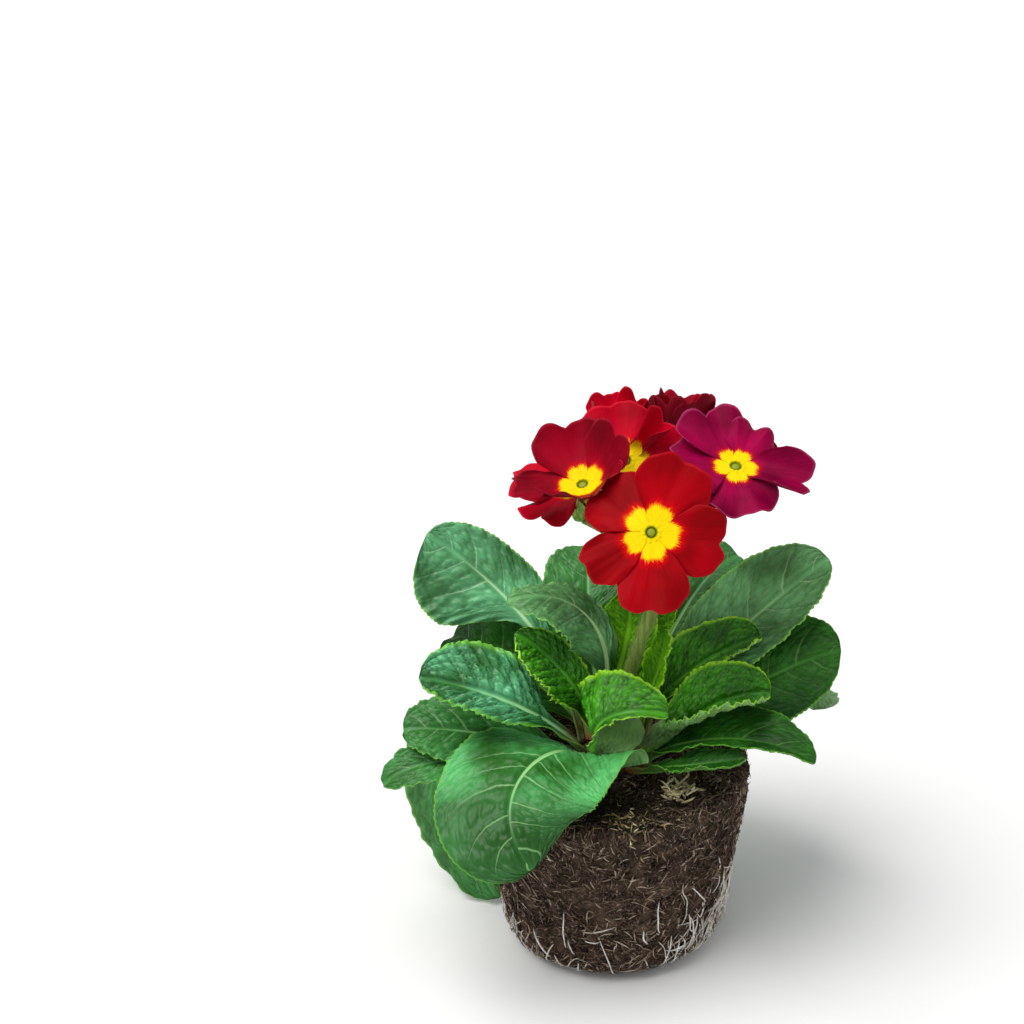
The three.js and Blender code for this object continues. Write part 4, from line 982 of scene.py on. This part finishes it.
# fibres take their colour from the tone of each strand, on a ramp from dark to light
def fibreMaterial(name, *colours, roughness=0.85):
    material, tree, place = newMaterial(name, Roughness=roughness, Specular_IOR_Level=0.2)
    ramp = addNode("ValToRGB", Fac=pointValue(tree, "tone"))
    elements = ramp.socket.node.color_ramp.elements
    for position, _ in colours[1:-1]:
        elements.new(position)
    for element, (_, colour) in zip(elements, colours):
        element.color = (*colour, 1)
    spots = span(noise(place, 800.0), 0.25, 0.75)
    return paint(material, blend(spots, ramp, blend(0.45, ramp, (0.02, 0.012, 0.008))))


fibreBrown = fibreMaterial("fibreBrown", (0, (0.016, 0.010, 0.007)), (0.4, (0.13, 0.084, 0.056)),
                           (0.75, (0.44, 0.32, 0.22)), (1, (0.90, 0.78, 0.62)))
strawPale = fibreMaterial("strawPale", (0, (0.16, 0.12, 0.05)), (0.5, (0.48, 0.36, 0.17)),
                          (1, (1.0, 0.90, 0.58)), roughness=0.6)
mossOlive = fibreMaterial("mossOlive", (0, (0.008, 0.008, 0.004)), (0.5, (0.045, 0.042, 0.018)),
                          (1, (0.20, 0.17, 0.085)))
rootWhite = fibreMaterial("rootWhite", (0, (0.42, 0.34, 0.25)), (0.5, (0.76, 0.72, 0.63)),
                          (1, (0.95, 0.94, 0.89)), roughness=0.55)


# the peat: the ball's surface with crumbs of three sizes, closed by the floor of the crown's hole
def addPeat():
    onFoot, onSide, onTop = ballShape["rows"]
    s = np.concatenate([np.linspace(0, footEdge, onFoot, endpoint=False),
                        np.linspace(footEdge, rimEdge, onSide, endpoint=False),
                        np.linspace(rimEdge, 1.0, onTop)])[:, None]
    a = turns(ballShape["around"])[None, :] + 0 * s
    s = s + 0 * a
    surface = ballPlace(a, s)
    firm = smooth(s, footEdge, 0.30)
    crumbs = sum(high * lumps(surface, wide, seed) for high, wide, seed in ballShape["crumbs"])
    crumbs = crumbs - ballShape["crumbSink"]
    surface = surface + ballOutward(a, np.clip(s, 0.006, 0.994)) * (crumbs * firm)[..., None]
    surface[..., 2] += np.abs(crumbs) * 0.7 * (1 - firm)
    x, y, z = np.moveaxis(surface, -1, 0)
    # the front hollow is greenish black, partly moss and partly painted shade
    mossAndShadeX, mossAndShadeY = ballShape["damp"]
    away = (x - mossAndShadeX) ** 2 + (y - mossAndShadeY) ** 2
    damp = 0.7 * np.exp(-away / ballShape["mossAndShadeSpread"]) * smooth(z, 62, 70)
    floorRing = surface[-1:] * [1, 1, 0] + [0, 0, ballShape["holeFloor"]]
    floorMiddle = 0 * floorRing + [0, 0, ballShape["holeFloor"]]
    surface = np.concatenate([surface, floorRing, floorMiddle])
    damp = np.concatenate([damp, damp[-1:], damp[-1:]])
    body = (surface, ringQuads(*damp.shape))
    addPiece("peatBall", [body], peatMaterial(), "soil", "root_ball", values={"damp": damp})


addPeat()
print("peat ready")


# strands lying on the ball: each starts at (a, s) and walks over the surface, 0 around and pi / 2
# down; its way bends and wobbles, and it is lifted off the surface by its own height
def lyingStrands(a, s, way, length, bendBy, wobble, lift, ends, steps):
    k = np.linspace(0, 1, steps)[None, :]
    swing = wobble[:, None] * np.sin(k * length[:, None] * 0.6 + 37 * (a + 9 * s)[:, None])
    turn = way[:, None] + bendBy[:, None] * (k - 0.5) + swing
    stride = (length / (steps - 1))[:, None]
    radius = np.maximum(np.hypot(*ballPlace(a, s).T[:2]), 12)[:, None]
    onFoot, onSide, onTop = ballShape["lengths"]
    perUnit = np.where(s >= rimEdge, onTop, np.where(s > footEdge, onSide, onFoot))[:, None]
    angles = a[:, None] + np.cumsum(stride * np.cos(turn), axis=1) / radius
    ways = np.clip(s[:, None] - np.cumsum(stride * np.sin(turn), axis=1) / perUnit, 0.02, 0.995)
    off = lift[:, None] + ends[:, None] * (2 * k - 1) ** 2
    return ballPlace(angles, ways) + ballOutward(angles, ways) * off[..., None]


# a piece of strands: thin at both ends, kept above the floor, with one tone for each strand
def addStrands(name, spines, wide, tone, sides, material, slot="soil", node="root_ball", taper=0.35):
    steps = spines.shape[1]
    narrowing = np.sin(np.linspace(0, math.pi, steps)) ** taper
    points, quads = strands(spines, wide[:, None] * narrowing, sides)
    points[..., 2] = np.maximum(points[..., 2], 0.0)
    tones = np.repeat(tone, steps * sides)
    addPiece(name, [(points, quads)], material, slot, node, values={"tone": tones})


# two fibres in three lie on the side, the others on top, and a few under the foot
def addFibres():
    rng = np.random.default_rng(21)
    count = ballShape["fibres"]
    a = rng.uniform(0, 2 * math.pi, count)
    onSide = rng.random(count) < ballShape["fibresOnSide"]
    side = rng.uniform(footEdge + 0.005, rimEdge, count)
    top = rimEdge + (1 - rimEdge) * rng.random(count) ** 1.5
    isUnder = rng.random(count) < ballShape["fibresUnder"]
    under = footEdge * np.sqrt(rng.random(count))
    s = np.where(isUnder, under, np.where(onSide, side, top))
    way = rng.normal(0, 1.0, count) + np.where(rng.random(count) < 0.35, math.pi / 2, 0)
    length = rng.gamma(3.0, 1.25, count) + 1.3
    spines = lyingStrands(a, s, way, length, rng.normal(0, 0.6, count), 0 * a,
                          rng.uniform(*ballShape["fibreLift"], count),
                          rng.normal(0.15, 0.5, count), steps=4)
    wide = rng.uniform(*ballShape["fibreRadius"], count)
    addStrands("peatFibres", spines, wide, rng.beta(1.2, 1.7, count), 3, fibreBrown)


addFibres()
print("fibres ready")

# moss and straw bits in the hollow at the front of the top, and a tuft of straw beside the crown:
# tilt and heading are a middle and a spread, and tone is drawn by the rule that it names
rng = np.random.default_rng(22)
litter = {
    "hollowMoss": dict(
        count=1500, middle=(4.0, -35.0), spread=(11.0, 7.0), long=(2, 6), lift=(0, 2.4),
        tilt=(0, 0.35), heading=(0, 3), radius=(0.08, 0.2), tone=(rng.beta, 1.5, 3), sides=3,
        skin=mossOlive),
    "strawChips": dict(
        count=90, middle=(5.0, -41.0), spread=(6.0, 4.5), long=(2, 5), lift=(0.8, 2.6),
        tilt=(0, 0.3), heading=(0, 3), radius=(0.16, 0.34), tone=(rng.beta, 2, 2), sides=4,
        skin=strawPale),
    "strawTuft": dict(
        count=50, middle=(23.5, -25.0), spread=(2.4, 2.8), long=(4.5, 9), lift=(1.6, 4.5),
        tilt=(0.15, 0.3), heading=(-1.4, 0.75), radius=(0.32, 0.6), tone=(rng.uniform, 0.6, 1),
        sides=4, skin=strawPale),
}


# straight strands with a slight bend about places on the top, each lifted and tilted
def topStrands(own):
    count = own["count"]
    length, lift = rng.uniform(*own["long"], (count, 1)), rng.uniform(*own["lift"], (count, 1))
    tilt = rng.normal(*own["tilt"], (count, 1))
    x, y = (own["middle"][n] + own["spread"][n] * rng.normal(size=(count, 1)) for n in (0, 1))
    turn = rng.normal(*own["heading"], (count, 1))
    k = np.linspace(-0.5, 0.5, 5)[None, :]
    turn = turn + rng.normal(0, 0.5, (count, 1)) * k
    x, y = x + length * k * np.cos(turn), y + length * k * np.sin(turn)
    edge, hole = ballShape["topEdge"], ballShape["hole"]
    radius = np.maximum(np.hypot(x, y), hole + 0.2)
    onTop = rimEdge + (1 - rimEdge) * (edge - radius) / (edge - hole)
    ways = np.where(radius < edge, onTop, rimEdge - (radius - edge) / ballShape["lengths"][1])
    angles = np.arctan2(y, x)
    off = (lift + tilt * k * length)[..., None]
    return ballPlace(angles, ways) + ballOutward(angles, ways) * off


for name, own in litter.items():
    spines = topStrands(own)
    wide = rng.uniform(*own["radius"], own["count"])
    draw, low, high = own["tone"]
    addStrands(name, spines, wide, draw(low, high, own["count"]), own["sides"], own["skin"])
print("moss and straw ready")

# white roots: a place is its middle and spread in compass angle and height, and its share of the
# roots; they crowd low down on the right and at the back. A single root goes from (compass,
# height) to (compass, height)
rootShape = {
    "count": 600, "steps": 12, "radius": (0.162, 0.324), "lift": (0.5, 1.5),
    "singleSteps": 16, "singleRadius": (0.22, 0.36), "singleLift": 1.5,
    "places": ((-10, 17, 20, 13, 0.36), (-38, 15, 8, 7, 0.12), (80, 50, 18, 12, 0.32),
               (200, 20, 10, 7, 0.14), (232, 12, 4, 4, 0.06)),
    "single": ((247, 33, 246, 14), (248, 20, 251, 12), (292, 38, 294, 21), (307, 41, 319, 28),
               (263, 23, 272, 1), (308, 27, 313, 9), (315, 24, 310, 8), (256, 21, 264, 20),
               (300, 20, 296, 4), (305, 17, 302, 2), (228, 19, 238, 7), (240, 15, 235, 5),
               (252, 9, 250, 1), (297, 12, 309, 13), (285, 25, 288, 17)),
}


def addWhiteRoots(rng):
    count = rootShape["count"]
    middle, turnSpread, level, levelSpread, share = np.array(rootShape["places"]).T
    which = rng.choice(len(share), count, p=share / share.sum())
    a = np.radians(rng.normal(middle[which], turnSpread[which]))
    z = np.abs(rng.normal(level[which], levelSpread[which])) + 1
    s = footEdge + (rimEdge - footEdge) * z / soilTop
    way = rng.normal(math.pi / 2, 0.45, count)
    way = way + np.where(rng.random(count) < 0.15, rng.uniform(-1.4, 1.4, count), 0)
    length = rng.gamma(4.0, 2.6, count) + 3
    spines = lyingStrands(a, s, way, length, rng.normal(0, 0.5, count),
                          rng.uniform(0.05, 0.3, count), rng.uniform(*rootShape["lift"], count),
                          rng.uniform(-1.3, 0.2, count), steps=rootShape["steps"])
    wide = rng.uniform(*rootShape["radius"], count)
    tone = np.clip(rng.normal(0.6, 0.25, count), 0, 1)
    addStrands("whiteRoots", spines, wide, tone, 5, rootWhite, "root_white", "root_net")


# single roots bow to one side and waver, and dip into the peat at both ends
def addSingleRoots(rng):
    fromTurn, fromHigh, toTurn, toHigh = np.array(rootShape["single"], float).T[..., None]
    count = len(fromTurn)
    k = np.linspace(0, 1, rootShape["singleSteps"])[None, :]
    bow = rng.normal(0, 1.0, count)[:, None] * np.sin(math.pi * k)
    bow = bow + rng.normal(0, 0.25, count)[:, None] * np.sin(3 * math.pi * k)
    a = np.radians(fromTurn + (toTurn - fromTurn) * k + bow)
    s = footEdge + (rimEdge - footEdge) * (fromHigh + (toHigh - fromHigh) * k) / soilTop
    off = (rootShape["singleLift"] - 1.6 * (2 * k - 1) ** 4)[..., None]
    wide, tone = rng.uniform(*rootShape["singleRadius"], count), rng.uniform(0.7, 1.0, count)
    addStrands("singleRoots", ballPlace(a, s) + ballOutward(a, s) * off, wide, tone, 7, rootWhite,
               "root_white", "root_net")


rootRandom = np.random.default_rng(23)
addWhiteRoots(rootRandom)
addSingleRoots(rootRandom)
print("roots ready")

# floor, light and camera
stageShape = {"size": 12.0, "world": 0.53, "worldColour": (0.97, 0.985, 1.0), "sun": 2.5,
              "sunColour": (1.0, 0.985, 0.96), "softness": 50.0, "sunFrom": (-0.40, -0.10, 1.0)}
floorPale = plainMaterial("floorPale", (0.90, 0.90, 0.90), Roughness=0.8, Specular_IOR_Level=0.1)
mesh = bpy.data.meshes.new("floor")
half = stageShape["size"] / 2
corners = [(-half, -half, 0), (half, -half, 0), (half, half, 0), (-half, half, 0)]
mesh.from_pydata(corners, [], [(0, 1, 2, 3)])
mesh.materials.append(floorPale)
floor = bpy.data.objects.new("floor", mesh)
bpy.context.scene.collection.objects.link(floor)

world = bpy.data.worlds.new("softLight")
world.use_nodes = True
background = world.node_tree.nodes["Background"].inputs
setInput(background["Color"], stageShape["worldColour"])
setInput(background["Strength"], stageShape["world"])
bpy.context.scene.world = world
bpy.context.scene.view_settings.view_transform = "Standard"  # clean whites and full reds

light = bpy.data.lights.new("softSun", "SUN")
light.energy, light.color = stageShape["sun"], stageShape["sunColour"]
light.angle = math.radians(stageShape["softness"])
softSun = bpy.data.objects.new("softSun", light)
softSun.rotation_euler = Vector(stageShape["sunFrom"]).to_track_quat("Z", "Y").to_euler()
bpy.context.scene.collection.objects.link(softSun)

view = {"place": (0.0, -754.8, 562.2), "target": (-37.2, 49.4, 148.1), "lens": 85.4, "roll": -1.3,
        "sensor": 36.0, "near": 0.01}
camera = bpy.data.objects.new("camera", bpy.data.cameras.new("camera"))
camera.data.lens, camera.data.sensor_width = view["lens"], view["sensor"]
camera.data.clip_start = view["near"]
place, target = Vector(view["place"]) * mm, Vector(view["target"]) * mm
ahead = (target - place).normalized()
right = ahead.cross(Vector((0, 0, 1))).normalized()
up = right.cross(ahead)
roll = math.radians(view["roll"])
rolledRight = right * math.cos(roll) + up * math.sin(roll)
rolledUp = up * math.cos(roll) - right * math.sin(roll)
aimed = Matrix((rolledRight, rolledUp, -ahead)).transposed().to_4x4()
camera.matrix_world = Matrix.Translation(place) @ aimed
bpy.context.scene.collection.objects.link(camera)
bpy.context.scene.camera = camera
print("floor, light and camera ready")
